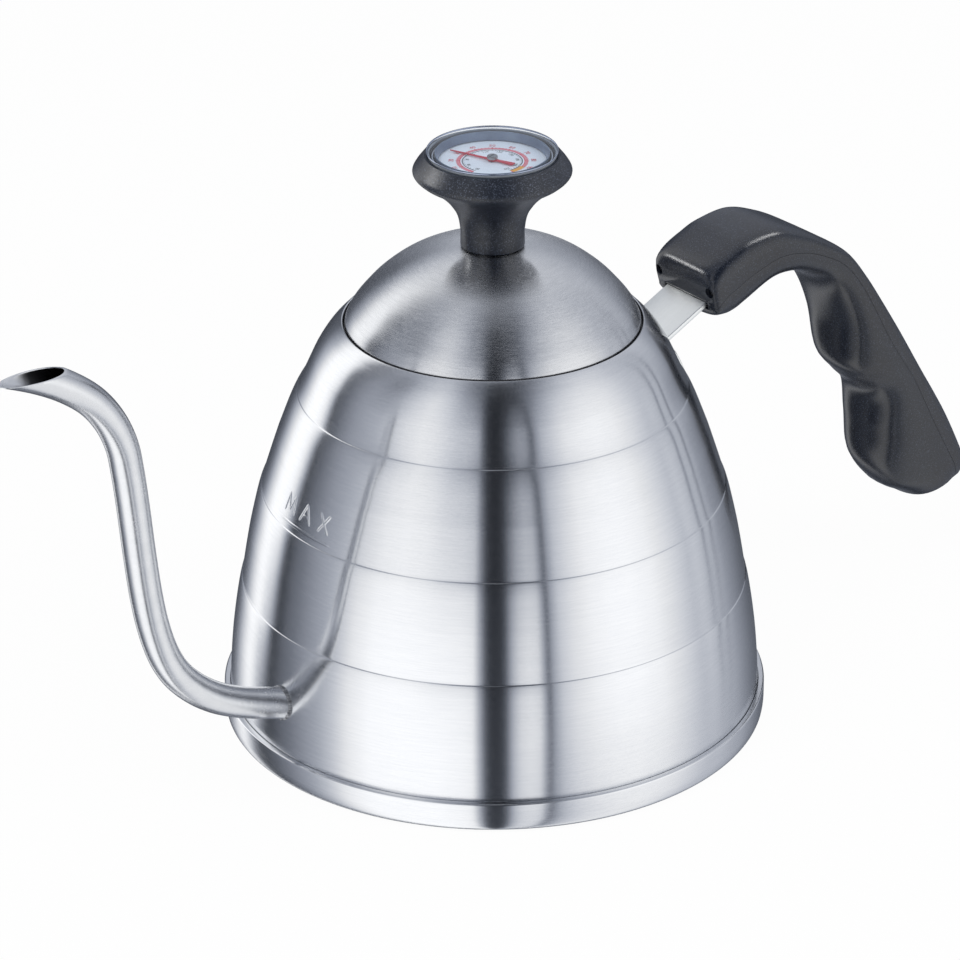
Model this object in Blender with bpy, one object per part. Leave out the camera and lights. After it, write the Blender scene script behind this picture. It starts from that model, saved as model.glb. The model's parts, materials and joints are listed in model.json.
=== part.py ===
"""Gooseneck kettle with a thermometer in the lid knob. Metres, +Z up.

Origin: centre of the base on the surface it stands on. The spout points along -X and the handle along +X.
"""

import math

import bmesh
import bpy
from mathutils import Matrix, Vector

MM = 0.001
GAP = 0.3 * MM  # clearance between neighbouring solids at rest

# Segments round the turned pieces
BODY_STEPS = 64
LID_STEPS = 48
KNOB_STEPS = 32
SMALL_STEPS = 20
SCREW_STEPS = 12

# Base
BASE_R = 80 * MM
BASE_BAND_H = 9.2 * MM
BASE_CORNER = 2.0 * MM
SHEET = 0.8 * MM  # stainless sheet of the body, the base cap and the bottom pan
CORE_H = 4.4 * MM
PAN_FLANGE_H = 4.4 * MM

# Body: the top of each tier as (inset from the foot's radius, rise above the foot), then its belly
BODY_INSET = 1.9 * MM
BODY_FOOT_R = BASE_R - BODY_INSET
BODY_GROOVE_H = 0.8 * MM
BODY_FOOT_Z = BASE_BAND_H + BODY_GROOVE_H
BODY_SINK = 2.3 * MM  # how far the wall reaches down inside the base band
TIERS = ((4.0, 33.7), (10.2, 62.7), (21.0, 92.3), (34.5, 113.3))
TIER_TOPS = tuple((BODY_FOOT_R - inset * MM, BODY_FOOT_Z + rise * MM) for inset, rise in TIERS)
UPPER_CREASE_R, UPPER_CREASE_Z = TIER_TOPS[2]
SEAM_R, SEAM_Z = TIER_TOPS[3]
TIER_BELLY = (0.7 * MM, 0.45 * MM, 0.55 * MM, 1.45 * MM)
TIER_STEPS = (4, 4, 4, 6)
TIER_LEDGE = 0.4 * MM
TOP_TIER_SKEW = 0.9 * MM  # extra belly in the upper half of the top tier

# Neck and the ledge that the lid rests on
LEDGE_DROP = 1.9 * MM
LEDGE_Z = SEAM_Z - LEDGE_DROP
LEDGE_W = 3.2 * MM
LIP_R = SEAM_R - 0.5 * MM
NECK_R = LIP_R - LEDGE_W
NECK_DEPTH = 8.0 * MM
NECK_BOTTOM_Z = LEDGE_Z - NECK_DEPTH

# Fill mark embossed in the third tier above the spout
MARK_RISE = 0.3 * MM
MARK_LIFT = 0.02 * MM
MARK_STROKE = 0.9 * MM
MARK_LINE_Z = TIER_TOPS[1][1] + 2.2 * MM
MARK_LINE_W = 24.6 * MM
MARK_LETTER_Z = MARK_LINE_Z + 2.4 * MM
MARK_LETTER_H = 5.4 * MM
MARK_LETTER_W = 5.2 * MM
MARK_PITCH = 8.4 * MM
MARK_TURN = math.radians(-1.9)  # round the body from straight above the spout

# Spout
SPOUT_R = 4.6 * MM
SPOUT_WALL = 0.6 * MM
SPOUT_SIDES = 16
SPOUT_STEPS = 30
# Centre line from inside the wall to past the mouth: (reach beyond the foot, rise above the foot)
SPOUT_ROUTE = (
    (-4.6, 12.9),
    (1.9, 15.2),
    (8.4, 17.4),
    (15.2, 20.2),
    (21.9, 23.8),
    (28.4, 28.8),
    (34.2, 35.2),
    (38.3, 42.8),
    (41.3, 52.6),
    (43.3, 63.6),
    (44.9, 77.2),
    (46.3, 91.5),
    (47.6, 102.4),
    (49.1, 110.8),
    (52.3, 119.3),
    (57.7, 126.9),
    (65.1, 133.0),
    (73.4, 138.3),
    (82.9, 143.0),
    (93.9, 146.9),
)
MOUTH_BACK = (65.1, 137.5)
MOUTH_TIP = (85.9, 138.4)
MOUTH_CUT = 30 * MM
BEAD_R = 1.1 * MM
BEAD_SIDES = 6

# Handle strap
STRAP_W = 18 * MM
STRAP_T = 1.5 * MM
STRAP_ROOT_Z = UPPER_CREASE_Z + 1.3 * MM
STRAP_REACH = 13.3 * MM  # from the upper crease out to the grip's front face
STRAP_STEPS = 5  # how many stations of the grip's parting the strap follows
STRAP_FOOT_ARC = 15.0  # degrees to each side
STRAP_FOOT_BELOW = 9.0 * MM
STRAP_FOOT_ABOVE = 3.0 * MM

# Grip stations from the front face to the lower end, from the front face and the strap's root:
# outer point (reach, rise), inner point (reach, rise), half width, the outer shell's share of the depth
GRIP_FRONT_X = UPPER_CREASE_R + STRAP_REACH
GRIP = (
    ((0.0, 15.5), (2.4, 5.8), 13.0, 0.80),
    ((0.6, 18.4), (3.8, 3.6), 14.0, 0.70),
    ((4.1, 21.1), (6.6, 2.2), 14.4, 0.55),
    ((9.9, 23.8), (10.6, 1.8), 14.4, 0.49),
    ((15.8, 25.8), (15.2, 3.6), 14.4, 0.47),
    ((26.7, 26.6), (25.0, 8.4), 14.4, 0.46),
    ((36.9, 23.1), (33.1, 9.2), 14.4, 0.42),
    ((45.5, 18.4), (39.8, 7.4), 14.4, 0.38),
    ((54.9, 12.0), (46.7, 3.7), 14.3, 0.36),
    ((62.6, 2.5), (52.5, -3.2), 14.2, 0.34),
    ((69.5, -7.5), (57.0, -14.8), 14.2, 0.32),
    ((76.4, -17.9), (59.2, -28.2), 14.2, 0.28),
    ((81.6, -26.4), (64.5, -35.0), 14.2, 0.28),
    ((86.4, -34.5), (71.0, -42.6), 14.3, 0.28),
    ((91.8, -42.9), (72.0, -54.6), 14.4, 0.25),
    ((97.4, -52.2), (73.1, -66.6), 14.6, 0.23),
    ((103.0, -63.2), (79.9, -76.0), 14.6, 0.23),
    ((105.8, -70.0), (85.9, -79.9), 14.4, 0.24),
    ((105.5, -75.2), (90.4, -82.5), 12.7, 0.25),
    ((102.1, -78.7), (94.4, -82.8), 7.8, 0.25),
)
GRIP_SQUARE_OUT = 3.4  # exponent of the outer half of the section, 2 is an ellipse
GRIP_SQUARE_IN = 2.5
GRIP_HALF_SIDES = 10
GRIP_WALL = 2.2 * MM
GRIP_FRONT_STEPS = 4  # stations left solid at the front
GRIP_HOLLOW_STEPS = 12  # stations that the hollow reaches after them
GRIP_SCREW_Y = STRAP_W / 2 + 2.6 * MM
GRIP_SCREW_Z = STRAP_ROOT_Z + 12.6 * MM
GRUB_R = 1.3 * MM
GRUB_L = 5.0 * MM
GRUB_SET = 1.6 * MM
END_SCREW_R = 1.3 * MM
END_SCREW_HEAD_R = 2.4 * MM
END_SCREW_HEAD_H = 1.8 * MM
END_SCREW_L = 14.0 * MM
END_SCREW_SINK = 3.6 * MM

# Lid
LID_PLAY = 0.6 * MM
LID_R = LIP_R - LID_PLAY
LID_SHEET = 0.8 * MM
LID_HEM_TOP_Z = LEDGE_Z + 2.6 * MM
DOME_REACH = 38.4 * MM  # from the rim in to the hole, over which the insets below are drawn
# Dome points from the hem to the middle: (inset from the rim, rise above the ledge)
DOME = ((1.8, 5.8), (4.4, 9.2), (8.3, 13.5), (13.5, 17.8), (18.5, 20.8), (24.5, 23.3), (30.5, 24.7))
DOME_BEND_R = 48 * MM
DOME_TOP_Z = LEDGE_Z + 25.1 * MM
SKIRT_R = NECK_R - 0.5 * MM
SKIRT_DEPTH = 12.4 * MM
SKIRT_BOTTOM_Z = LEDGE_Z - SKIRT_DEPTH

# Thermometer case, which sets the knob's size
CASE_R = 17.2 * MM
CASE_SHEET = 0.5 * MM
CASE_DEPTH = 4.0 * MM

# Knob: its side from the foot up, as (radius beyond the rim's, rise above the dome)
KNOB_RIM_R = CASE_R + 2.1 * MM
KNOB = (
    (-10.2, 4.5),
    (-9.7, 8.0),
    (-8.9, 10.5),
    (-7.7, 12.5),
    (-6.2, 14.5),
    (-4.2, 16.5),
    (-1.7, 18.5),
    (1.5, 20.5),
    (3.3, 22.5),
    (2.5, 24.5),
    (1.0, 26.5),
    (0.0, 27.7),
)
KNOB_FOOT_R = KNOB_RIM_R - 10.1 * MM
KNOB_LAND_Z = DOME_TOP_Z + 27.3 * MM

# Thermometer
CASE_RIM_Z = KNOB_LAND_Z - 0.2 * MM
CASE_FLOOR_Z = CASE_RIM_Z - CASE_DEPTH
CASE_FLOOR_TOP_Z = CASE_FLOOR_Z + CASE_SHEET
SLEEVE_R = 3.8 * MM
SLEEVE_WALL = 1.0 * MM
SLEEVE_BORE_R = SLEEVE_R - SLEEVE_WALL
SLEEVE_BOTTOM_Z = DOME_TOP_Z - 9.0 * MM
STEM_R = SLEEVE_BORE_R - GAP
STEM_WALL = 0.5 * MM
STEM_BORE_R = STEM_R - STEM_WALL
STEM_L = 88.1 * MM
STEM_BOTTOM_Z = CASE_FLOOR_TOP_Z - STEM_L
DIAL_R = CASE_R - CASE_SHEET - 0.4 * MM
DIAL_T = 0.5 * MM
DIAL_Z = CASE_RIM_Z - 1.7 * MM
SPACER_W = 1.1 * MM
CRYSTAL_R = KNOB_RIM_R - 0.6 * MM
CRYSTAL_BEVEL = 1.0 * MM
CRYSTAL_T = 0.9 * MM
GASKET_T = 0.5 * MM
CRYSTAL_UNDER_Z = KNOB_LAND_Z + GAP + GASKET_T + GAP
NEEDLE_TURN = 111.0  # degrees from +X to the needle's tip as it rests
NEEDLE_PLAY = 1.2 * MM  # from the needle's tip to the spacer ring
NEEDLE_TIP = DIAL_R - SPACER_W - NEEDLE_PLAY
NEEDLE_TAIL = 7.0 * MM
NEEDLE_T = 0.3 * MM
NEEDLE_BOSS = 1.3 * MM
NEEDLE_Z = DIAL_Z + 0.4 * MM
HUB_R = 1.5 * MM
HUB_H = 1.0 * MM
SPINDLE_R = 0.5 * MM
BUSH_R = STEM_BORE_R - GAP
BUSH_H = 3.0 * MM
COIL_WIRE = 0.25 * MM
COIL_R = STEM_BORE_R - COIL_WIRE - 0.4 * MM
COIL_TURNS = 8
COIL_STEPS = 10
COIL_L = 14 * MM
PLUG_H = 3.0 * MM

# Lid fixing under the dome
SEAL_R = 8.0 * MM
SEAL_T = 1.2 * MM
WASHER_R = 7.5 * MM
WASHER_T = 0.8 * MM
NUT_FLATS = 11.0 * MM
NUT_H = 3.0 * MM


def clear_scene():
    for obj in list(bpy.data.objects):
        bpy.data.objects.remove(obj, do_unlink=True)


def make_material(name, colour, roughness, metallic):
    mat = bpy.data.materials.new(name)
    mat.use_nodes = True
    shader = mat.node_tree.nodes["Principled BSDF"]
    shader.inputs["Base Color"].default_value = (*colour, 1.0)
    shader.inputs["Roughness"].default_value = roughness
    shader.inputs["Metallic"].default_value = metallic
    return mat


def add_object(name, bm, mat=None):
    mesh = bpy.data.meshes.new(name)
    bm.normal_update()
    bm.to_mesh(mesh)
    bm.free()
    obj = bpy.data.objects.new(name, mesh)
    bpy.context.scene.collection.objects.link(obj)
    if mat:
        mesh.materials.append(mat)
        mesh.shade_smooth()
        mesh.set_sharp_from_angle(angle=math.radians(35))
    return obj


def make_cutter(name, bm):
    obj = add_object(name, bm)
    obj.hide_render = True
    obj.display_type = "WIRE"
    return obj


def combine(obj, other, operation, solver="EXACT"):
    mod = obj.modifiers.new(other.name, "BOOLEAN")
    mod.operation = operation
    mod.solver = solver
    mod.object = other


def ring_bmesh(profile, steps):
    """A turned solid: the profile's loop, given down its outer side, spun round the Z axis."""
    bm = bmesh.new()
    verts = [bm.verts.new((radius, 0.0, height)) for radius, height in profile]
    edges = [bm.edges.new(pair) for pair in zip(verts, verts[1:])]
    if profile[0][0] > 0.0 or profile[-1][0] > 0.0:
        edges.append(bm.edges.new((verts[-1], verts[0])))
    bmesh.ops.spin(
        bm,
        geom=verts + edges,
        axis=(0, 0, 1),
        cent=(0, 0, 0),
        angle=math.tau,
        steps=steps,
        use_merge=True,
    )
    bmesh.ops.remove_doubles(bm, verts=bm.verts, dist=0.001 * MM)
    bmesh.ops.recalc_face_normals(bm, faces=bm.faces)
    return bm


def turned(name, profile, mat, steps):
    return add_object(name, ring_bmesh(profile, steps), mat)


def disc_profile(radius, low, high):
    return [(0.0, high), (radius, high), (radius, low), (0.0, low)]


def tube_profile(outer, inner, low, high):
    return [(inner, high), (outer, high), (outer, low), (inner, low)]


def loft(rings):
    """A closed solid through rings of points, each ring going the same way round."""
    bm = bmesh.new()
    loops = []
    for ring in rings:
        verts = [bm.verts.new(point) for point in ring]
        loops.append(verts)
    for low, high in zip(loops, loops[1:]):
        count = len(low)
        for k in range(count):
            after = (k + 1) % count
            bm.faces.new((low[k], low[after], high[after], high[k]))
    bm.faces.new(list(reversed(loops[0])))
    bm.faces.new(loops[-1])
    bmesh.ops.recalc_face_normals(bm, faces=bm.faces)
    bmesh.ops.triangulate(bm, faces=bm.faces)
    return bm


def smooth_route(points, count):
    """Points evenly along a Catmull-Rom curve through the given points."""
    pts = [2 * points[0] - points[1]] + points + [2 * points[-1] - points[-2]]
    fine = []
    for a, b, c, d in zip(pts, pts[1:], pts[2:], pts[3:]):
        for k in range(12):
            t = k / 12
            square = (2 * a - 5 * b + 4 * c - d) * t * t
            cube = (3 * b - a - 3 * c + d) * t ** 3
            fine.append(0.5 * (2 * b + (c - a) * t + square + cube))
    fine.append(pts[-2])
    lengths = [0.0]
    for a, b in zip(fine, fine[1:]):
        lengths.append(lengths[-1] + (b - a).length)
    route = []
    for k in range(count + 1):
        want = lengths[-1] * k / count
        i = max(j for j, length in enumerate(lengths[:-1]) if length <= want + 1e-9)
        share = (want - lengths[i]) / (lengths[i + 1] - lengths[i])
        route.append(fine[i].lerp(fine[i + 1], min(1.0, share)))
    return route


def tangents(route):
    ends = [route[1] - route[0], route[-1] - route[-2]]
    inner = [c - a for a, c in zip(route, route[2:])]
    return [t.normalized() for t in [ends[0]] + inner + [ends[1]]]


def box_bmesh(size, matrix):
    bm = bmesh.new()
    bmesh.ops.create_cube(bm, size=1.0, matrix=matrix @ Matrix.Diagonal((*size, 1.0)))
    return bm


def rod_bmesh(radius, length, steps, matrix):
    bm = bmesh.new()
    bmesh.ops.create_cone(
        bm, cap_ends=True, segments=steps, radius1=radius, radius2=radius, depth=length, matrix=matrix
    )
    return bm


def aim(origin, direction):
    """A frame at the origin whose Z axis runs along the direction."""
    turn = Vector(direction).to_track_quat("Z", "Y").to_matrix().to_4x4()
    return Matrix.Translation(origin) @ turn


# Body -----------------------------------------------------------------------------------------------


def tier_feet():
    """The lower end of each tier: the foot, then each lower tier's top stepped inwards."""
    feet = [(BODY_FOOT_R, BODY_FOOT_Z)]
    for radius, height in TIER_TOPS[:-1]:
        feet.append((radius - TIER_LEDGE, height + TIER_LEDGE * 0.6))
    return feet


def tier_radius(index, share):
    foot, top = tier_feet()[index], TIER_TOPS[index]
    bow = 4 * share * (1 - share)
    skew = TOP_TIER_SKEW * bow * (2 * share - 1) if index == len(TIER_TOPS) - 1 else 0.0
    return foot[0] + (top[0] - foot[0]) * share + TIER_BELLY[index] * bow + skew


def body_radius(height):
    """The outer radius of the body's wall at a height."""
    for index, (foot, top) in enumerate(zip(tier_feet(), TIER_TOPS)):
        if height <= top[1] or index == len(TIER_TOPS) - 1:
            share = min(1.0, max(0.0, (height - foot[1]) / (top[1] - foot[1])))
            return tier_radius(index, share)
    return TIER_TOPS[-1][0]


def tier_points(index):
    foot, top = tier_feet()[index], TIER_TOPS[index]
    count = TIER_STEPS[index]
    for k in range(count, -1, -1):
        share = k / count
        yield tier_radius(index, share), foot[1] + (top[1] - foot[1]) * share


def body_foot_z():
    return BASE_BAND_H - BODY_SINK


def body_profile():
    crest_z = TIER_TOPS[-1][1] + 0.4 * MM
    outer = [(LIP_R + 0.2 * MM, crest_z)]
    for index in reversed(range(len(TIER_TOPS))):
        outer.extend(tier_points(index))
    outer.append((BODY_FOOT_R, body_foot_z()))
    inner = [(BODY_FOOT_R - SHEET, body_foot_z()), (BODY_FOOT_R - SHEET, BODY_FOOT_Z)]
    for index in range(len(TIER_TOPS)):
        step = TIER_TOPS[index][1] - tier_feet()[index][1]
        for share in (0.5, 1.0) if index < 3 else (0.35, 0.65):
            height = tier_feet()[index][1] + step * share
            inner.append((tier_radius(index, share) - SHEET - 0.3 * MM * index, height))
    under = LEDGE_Z - SHEET
    neck_out = NECK_R + SHEET
    inner.append((body_radius(under - 1.5 * MM) - 2.6 * SHEET, under - 1.2 * MM))
    inner.append((body_radius(under) - 3.2 * SHEET, under))
    inner += [(neck_out, under), (neck_out, NECK_BOTTOM_Z), (NECK_R, NECK_BOTTOM_Z), (NECK_R, LEDGE_Z)]
    inner += [(LIP_R, LEDGE_Z), (LIP_R, crest_z - 0.3 * MM)]
    return outer + inner


def wall_patch(arc, heights, rise, sunk):
    """A strip that follows the body's wall at -X: arc in radians, from sunk below it to rise above it."""
    columns = max(2, round(abs(arc[1] - arc[0]) / 0.08) + 1)
    rows = max(2, round((heights[1] - heights[0]) / (3 * MM)) + 1)

    def point(row, column, offset):
        height = heights[0] + (heights[1] - heights[0]) * row / (rows - 1)
        angle = math.pi + arc[0] + (arc[1] - arc[0]) * column / (columns - 1)
        radius = body_radius(height) + offset
        return (radius * math.cos(angle), radius * math.sin(angle), height)

    rings = []
    for column in range(columns):
        outside = [point(row, column, rise) for row in range(rows)]
        inside = [point(row, column, -sunk) for row in reversed(range(rows))]
        rings.append(outside + inside)
    return loft(rings)


def mark_stroke(start, end, lift):
    """One raised stroke of the fill mark between two points (along the wall, height).

    lift keeps the faces of strokes that cross from lying in one plane."""
    a, b = Vector(start), Vector(end)
    side = (b - a).normalized().orthogonal() * (MARK_STROKE / 2)
    along = (b - a).normalized() * (MARK_STROKE / 2)
    corners = [a - along + side, b + along + side, b + along - side, a - along - side]

    def on_wall(flat, offset):
        radius = body_radius(flat.y)
        angle = math.pi + MARK_TURN + flat.x / body_radius(MARK_LETTER_Z)
        reach = radius + offset
        return (reach * math.cos(angle), reach * math.sin(angle), flat.y)

    raised = [on_wall(corner, MARK_RISE + lift) for corner in corners]
    sunk = [on_wall(corner, lift - SHEET / 2) for corner in corners]
    return loft([raised, sunk])


def mark_strokes():
    half, low, high = MARK_LETTER_W / 2, MARK_LETTER_Z, MARK_LETTER_Z + MARK_LETTER_H
    bar = low + MARK_LETTER_H * 0.36
    dip = low + MARK_LETTER_H * 0.3
    left, mid, right = -MARK_PITCH, 0.0, MARK_PITCH
    yield (left - half, low), (left - half * 0.7, high)
    yield (left - half * 0.7, high), (left, dip)
    yield (left, dip), (left + half * 0.7, high)
    yield (left + half * 0.7, high), (left + half, low)
    yield (mid - half, low), (mid, high)
    yield (mid, high), (mid + half, low)
    yield (mid - half * 0.6, bar), (mid + half * 0.6, bar)
    yield (right - half * 0.8, low), (right + half * 0.8, high)
    yield (right - half * 0.8, high), (right + half * 0.8, low)


def make_body(mats):
    body = turned("body_shell", body_profile(), mats["steel"], BODY_STEPS)
    route = spout_route()
    axis = tangents(route)[0]
    centre = Vector((-route[0].x, 0.0, route[0].y))
    along = Vector((-axis.x, 0.0, axis.y))
    hole = rod_bmesh(SPOUT_R + GAP, 20 * MM, SPOUT_SIDES, aim(centre, along))
    combine(body, make_cutter("spout_hole", hole), "DIFFERENCE")
    for number, (start, end) in enumerate(mark_strokes()):
        stroke = mark_stroke(start, end, MARK_LIFT * (number % 3))
        combine(body, make_cutter(f"mark_stroke_{number}", stroke), "UNION")
    half = MARK_LINE_W / 2 / body_radius(MARK_LINE_Z)
    heights = (MARK_LINE_Z - MARK_STROKE / 2, MARK_LINE_Z + MARK_STROKE / 2)
    line = wall_patch((MARK_TURN - half, MARK_TURN + half), heights, MARK_RISE, SHEET / 2)
    combine(body, make_cutter("mark_line", line), "UNION")


def make_base(mats):
    core_low = SHEET + GAP
    core_high = core_low + CORE_H
    pan_low = core_high + GAP
    pan_high = pan_low + SHEET
    bore = BASE_R - SHEET
    cap = [
        (0.0, 0.0),
        (0.0, SHEET),
        (bore, SHEET),
        (bore, BASE_BAND_H),
        (BASE_R - 0.5 * MM, BASE_BAND_H),
        (BASE_R, BASE_BAND_H - 0.5 * MM),
        (BASE_R, BASE_CORNER),
        (BASE_R - BASE_CORNER * 0.3, BASE_CORNER * 0.3),
        (BASE_R - BASE_CORNER, 0.0),
    ]
    turned("base_cap", cap, mats["steel"], BODY_STEPS)
    turned("base_core", disc_profile(bore - GAP, core_low, core_high), mats["aluminium"], BODY_STEPS)
    flange_out = BODY_FOOT_R - SHEET - GAP
    pan = [
        (0.0, pan_high),
        (flange_out - SHEET, pan_high),
        (flange_out - SHEET, pan_high + PAN_FLANGE_H),
        (flange_out, pan_high + PAN_FLANGE_H),
        (flange_out, body_foot_z() - GAP),
        (bore - GAP, body_foot_z() - GAP),
        (bore - GAP, pan_low),
        (0.0, pan_low),
    ]
    turned("bottom_pan", pan, mats["steel"], BODY_STEPS)


# Spout ----------------------------------------------------------------------------------------------


def spout_point(reach, rise):
    return Vector((BODY_FOOT_R + reach * MM, BODY_FOOT_Z + rise * MM))


def spout_route():
    return smooth_route([spout_point(*point) for point in SPOUT_ROUTE], SPOUT_STEPS)


def tube_rings(route, radius, sides):
    rings = []
    for point, along in zip(route, tangents(route)):
        across = Vector((-along.y, along.x))
        ring = []
        for k in range(sides):
            angle = math.tau * (k + 0.5) / sides
            flat = point + across * (radius * math.cos(angle))
            ring.append((-flat.x, radius * math.sin(angle), flat.y))
        rings.append(ring)
    return rings


def make_spout(mats):
    route = spout_route()
    tube = add_object("spout_tube", loft(tube_rings(route, SPOUT_R, SPOUT_SIDES)), mats["steel"])
    first, last = route[0], route[-1]
    bore_route = [first - (route[1] - first)] + route + [last + (last - route[-2])]
    bore = loft(tube_rings(bore_route, SPOUT_R - SPOUT_WALL, SPOUT_SIDES))
    combine(tube, make_cutter("spout_bore", bore), "DIFFERENCE", "MANIFOLD")
    back, tip = spout_point(*MOUTH_BACK), spout_point(*MOUTH_TIP)
    cut = (tip - back).normalized()
    up = Vector((-cut.y, cut.x))
    centre = (back + tip) / 2 + up * MOUTH_CUT / 2
    slant = math.atan2(cut.y, cut.x)
    turn = Matrix.Rotation(slant, 4, "Y")
    matrix = Matrix.Translation((-centre.x, 0.0, centre.y)) @ turn
    mouth = box_bmesh((2 * MOUTH_CUT, MOUTH_CUT, MOUTH_CUT), matrix)
    combine(tube, make_cutter("mouth_cut", mouth), "DIFFERENCE", "MANIFOLD")
    make_bead(tube, route)


def make_bead(tube, route):
    """The weld bead round the root of the spout, just outside the body's wall."""
    rings = []
    point, along = route[0], tangents(route)[0]
    across = Vector((-along.y, along.x))
    for k in range(SPOUT_SIDES):
        angle = math.tau * (k + 0.5) / SPOUT_SIDES
        y = SPOUT_R * math.sin(angle)
        base = point + across * (SPOUT_R * math.cos(angle))
        reach = 0.0
        clear = GAP + BEAD_R
        while math.hypot(base.x + along.x * reach, y) < body_radius(base.y + along.y * reach) + clear:
            reach += 0.05 * MM
        centre = Vector((-(base.x + along.x * reach), y, base.y + along.y * reach))
        outward = Vector((-across.x * math.cos(angle), math.sin(angle), across.y * math.cos(angle)))
        forward = Vector((-along.x, 0.0, along.y))
        ring = []
        for turn in range(BEAD_SIDES):
            bend = math.tau * turn / BEAD_SIDES
            ring.append(centre + (outward * math.cos(bend) + forward * math.sin(bend)) * BEAD_R)
        rings.append(ring)
    bm = bmesh.new()
    loops = [[bm.verts.new(p) for p in ring] for ring in rings]
    for low, high in zip(loops, loops[1:] + loops[:1]):
        for k in range(BEAD_SIDES):
            after = (k + 1) % BEAD_SIDES
            bm.faces.new((low[k], low[after], high[after], high[k]))
    bmesh.ops.recalc_face_normals(bm, faces=bm.faces)
    bore = tube_rings(route[:4], SPOUT_R - SPOUT_WALL / 2, SPOUT_SIDES)
    bead = make_cutter("weld_bead", bm)
    combine(bead, make_cutter("bead_bore", loft(bore)), "DIFFERENCE", "MANIFOLD")
    combine(tube, bead, "UNION", "MANIFOLD")


# Handle ---------------------------------------------------------------------------------------------


def grip_points(station):
    """The outer, inner and parting points of a station, in the plane of the handle."""
    (ox, oz), (ix, iz), _, share = station
    corner = Vector((GRIP_FRONT_X, STRAP_ROOT_Z))
    top, low = corner + Vector((ox, oz)) * MM, corner + Vector((ix, iz)) * MM
    return top, low, top.lerp(low, share)


def strap_route():
    root = Vector((body_radius(STRAP_ROOT_Z) + GAP + STRAP_T / 2, STRAP_ROOT_Z))
    return [root] + [grip_points(s)[2] for s in GRIP[: STRAP_STEPS + 1]]


def strap_bmesh(width, thickness, route):
    top, bottom = [], []
    for point, along in zip(route, tangents(route)):
        side = Vector((-along.y, along.x)) * (thickness / 2)
        top.append(point + side)
        bottom.append(point - side)
    outline = top + list(reversed(bottom))
    return loft([[(p.x, y, p.y) for p in outline] for y in (-width / 2, width / 2)])


def make_strap(mats):
    route = strap_route()
    strap = add_object("handle_strap", strap_bmesh(STRAP_W, STRAP_T, route), mats["strap"])
    arc = math.radians(STRAP_FOOT_ARC)
    heights = (UPPER_CREASE_Z - STRAP_FOOT_BELOW, UPPER_CREASE_Z + STRAP_FOOT_ABOVE)
    foot = wall_patch((math.pi - arc, math.pi + arc), heights, GAP + STRAP_T, -GAP)
    combine(strap, make_cutter("strap_foot", foot), "UNION")


def grip_section(station, outer, inset, cross):
    """Half of the grip's section at a station, less an inset for a wall, run past the parting by cross."""
    top, low, parting = grip_points(station)
    half = station[2] * MM - inset
    reach = (top - low).normalized() * (1 if outer else -1)
    depth = (top - parting).length if outer else (low - parting).length
    depth -= inset
    power = 2 / (GRIP_SQUARE_OUT if outer else GRIP_SQUARE_IN)
    ring = []
    for k in range(GRIP_HALF_SIDES + 1):
        angle = math.pi * k / GRIP_HALF_SIDES
        flat = math.copysign(abs(math.cos(angle)) ** power, math.cos(angle)) * half
        rise = abs(math.sin(angle)) ** power * depth if 0 < k < GRIP_HALF_SIDES else -cross
        point = parting + reach * rise
        ring.append((point.x, flat, point.y))
    return ring


def grip_shell(name, outer, mat):
    shell = add_object(name, loft([grip_section(s, outer, 0.0, -GAP / 2) for s in GRIP]), mat)
    hollow_stations = GRIP[GRIP_FRONT_STEPS : GRIP_FRONT_STEPS + GRIP_HOLLOW_STEPS]
    hollow = loft([grip_section(s, outer, GRIP_WALL, 1 * MM) for s in hollow_stations])
    combine(shell, make_cutter(name + "_hollow", hollow), "DIFFERENCE", "MANIFOLD")
    slot = strap_bmesh(STRAP_W + 2 * GAP, STRAP_T + 2 * GAP, strap_route())
    combine(shell, make_cutter(name + "_slot", slot), "DIFFERENCE", "MANIFOLD")
    return shell


def end_screw_frame():
    """Where the end screw starts on the inner side and the way it runs towards the outer shell."""
    top, low, _ = grip_points(GRIP[-3])
    along = (top - low).normalized()
    return Vector((low.x, 0.0, low.y)), Vector((along.x, 0.0, along.y))


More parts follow.
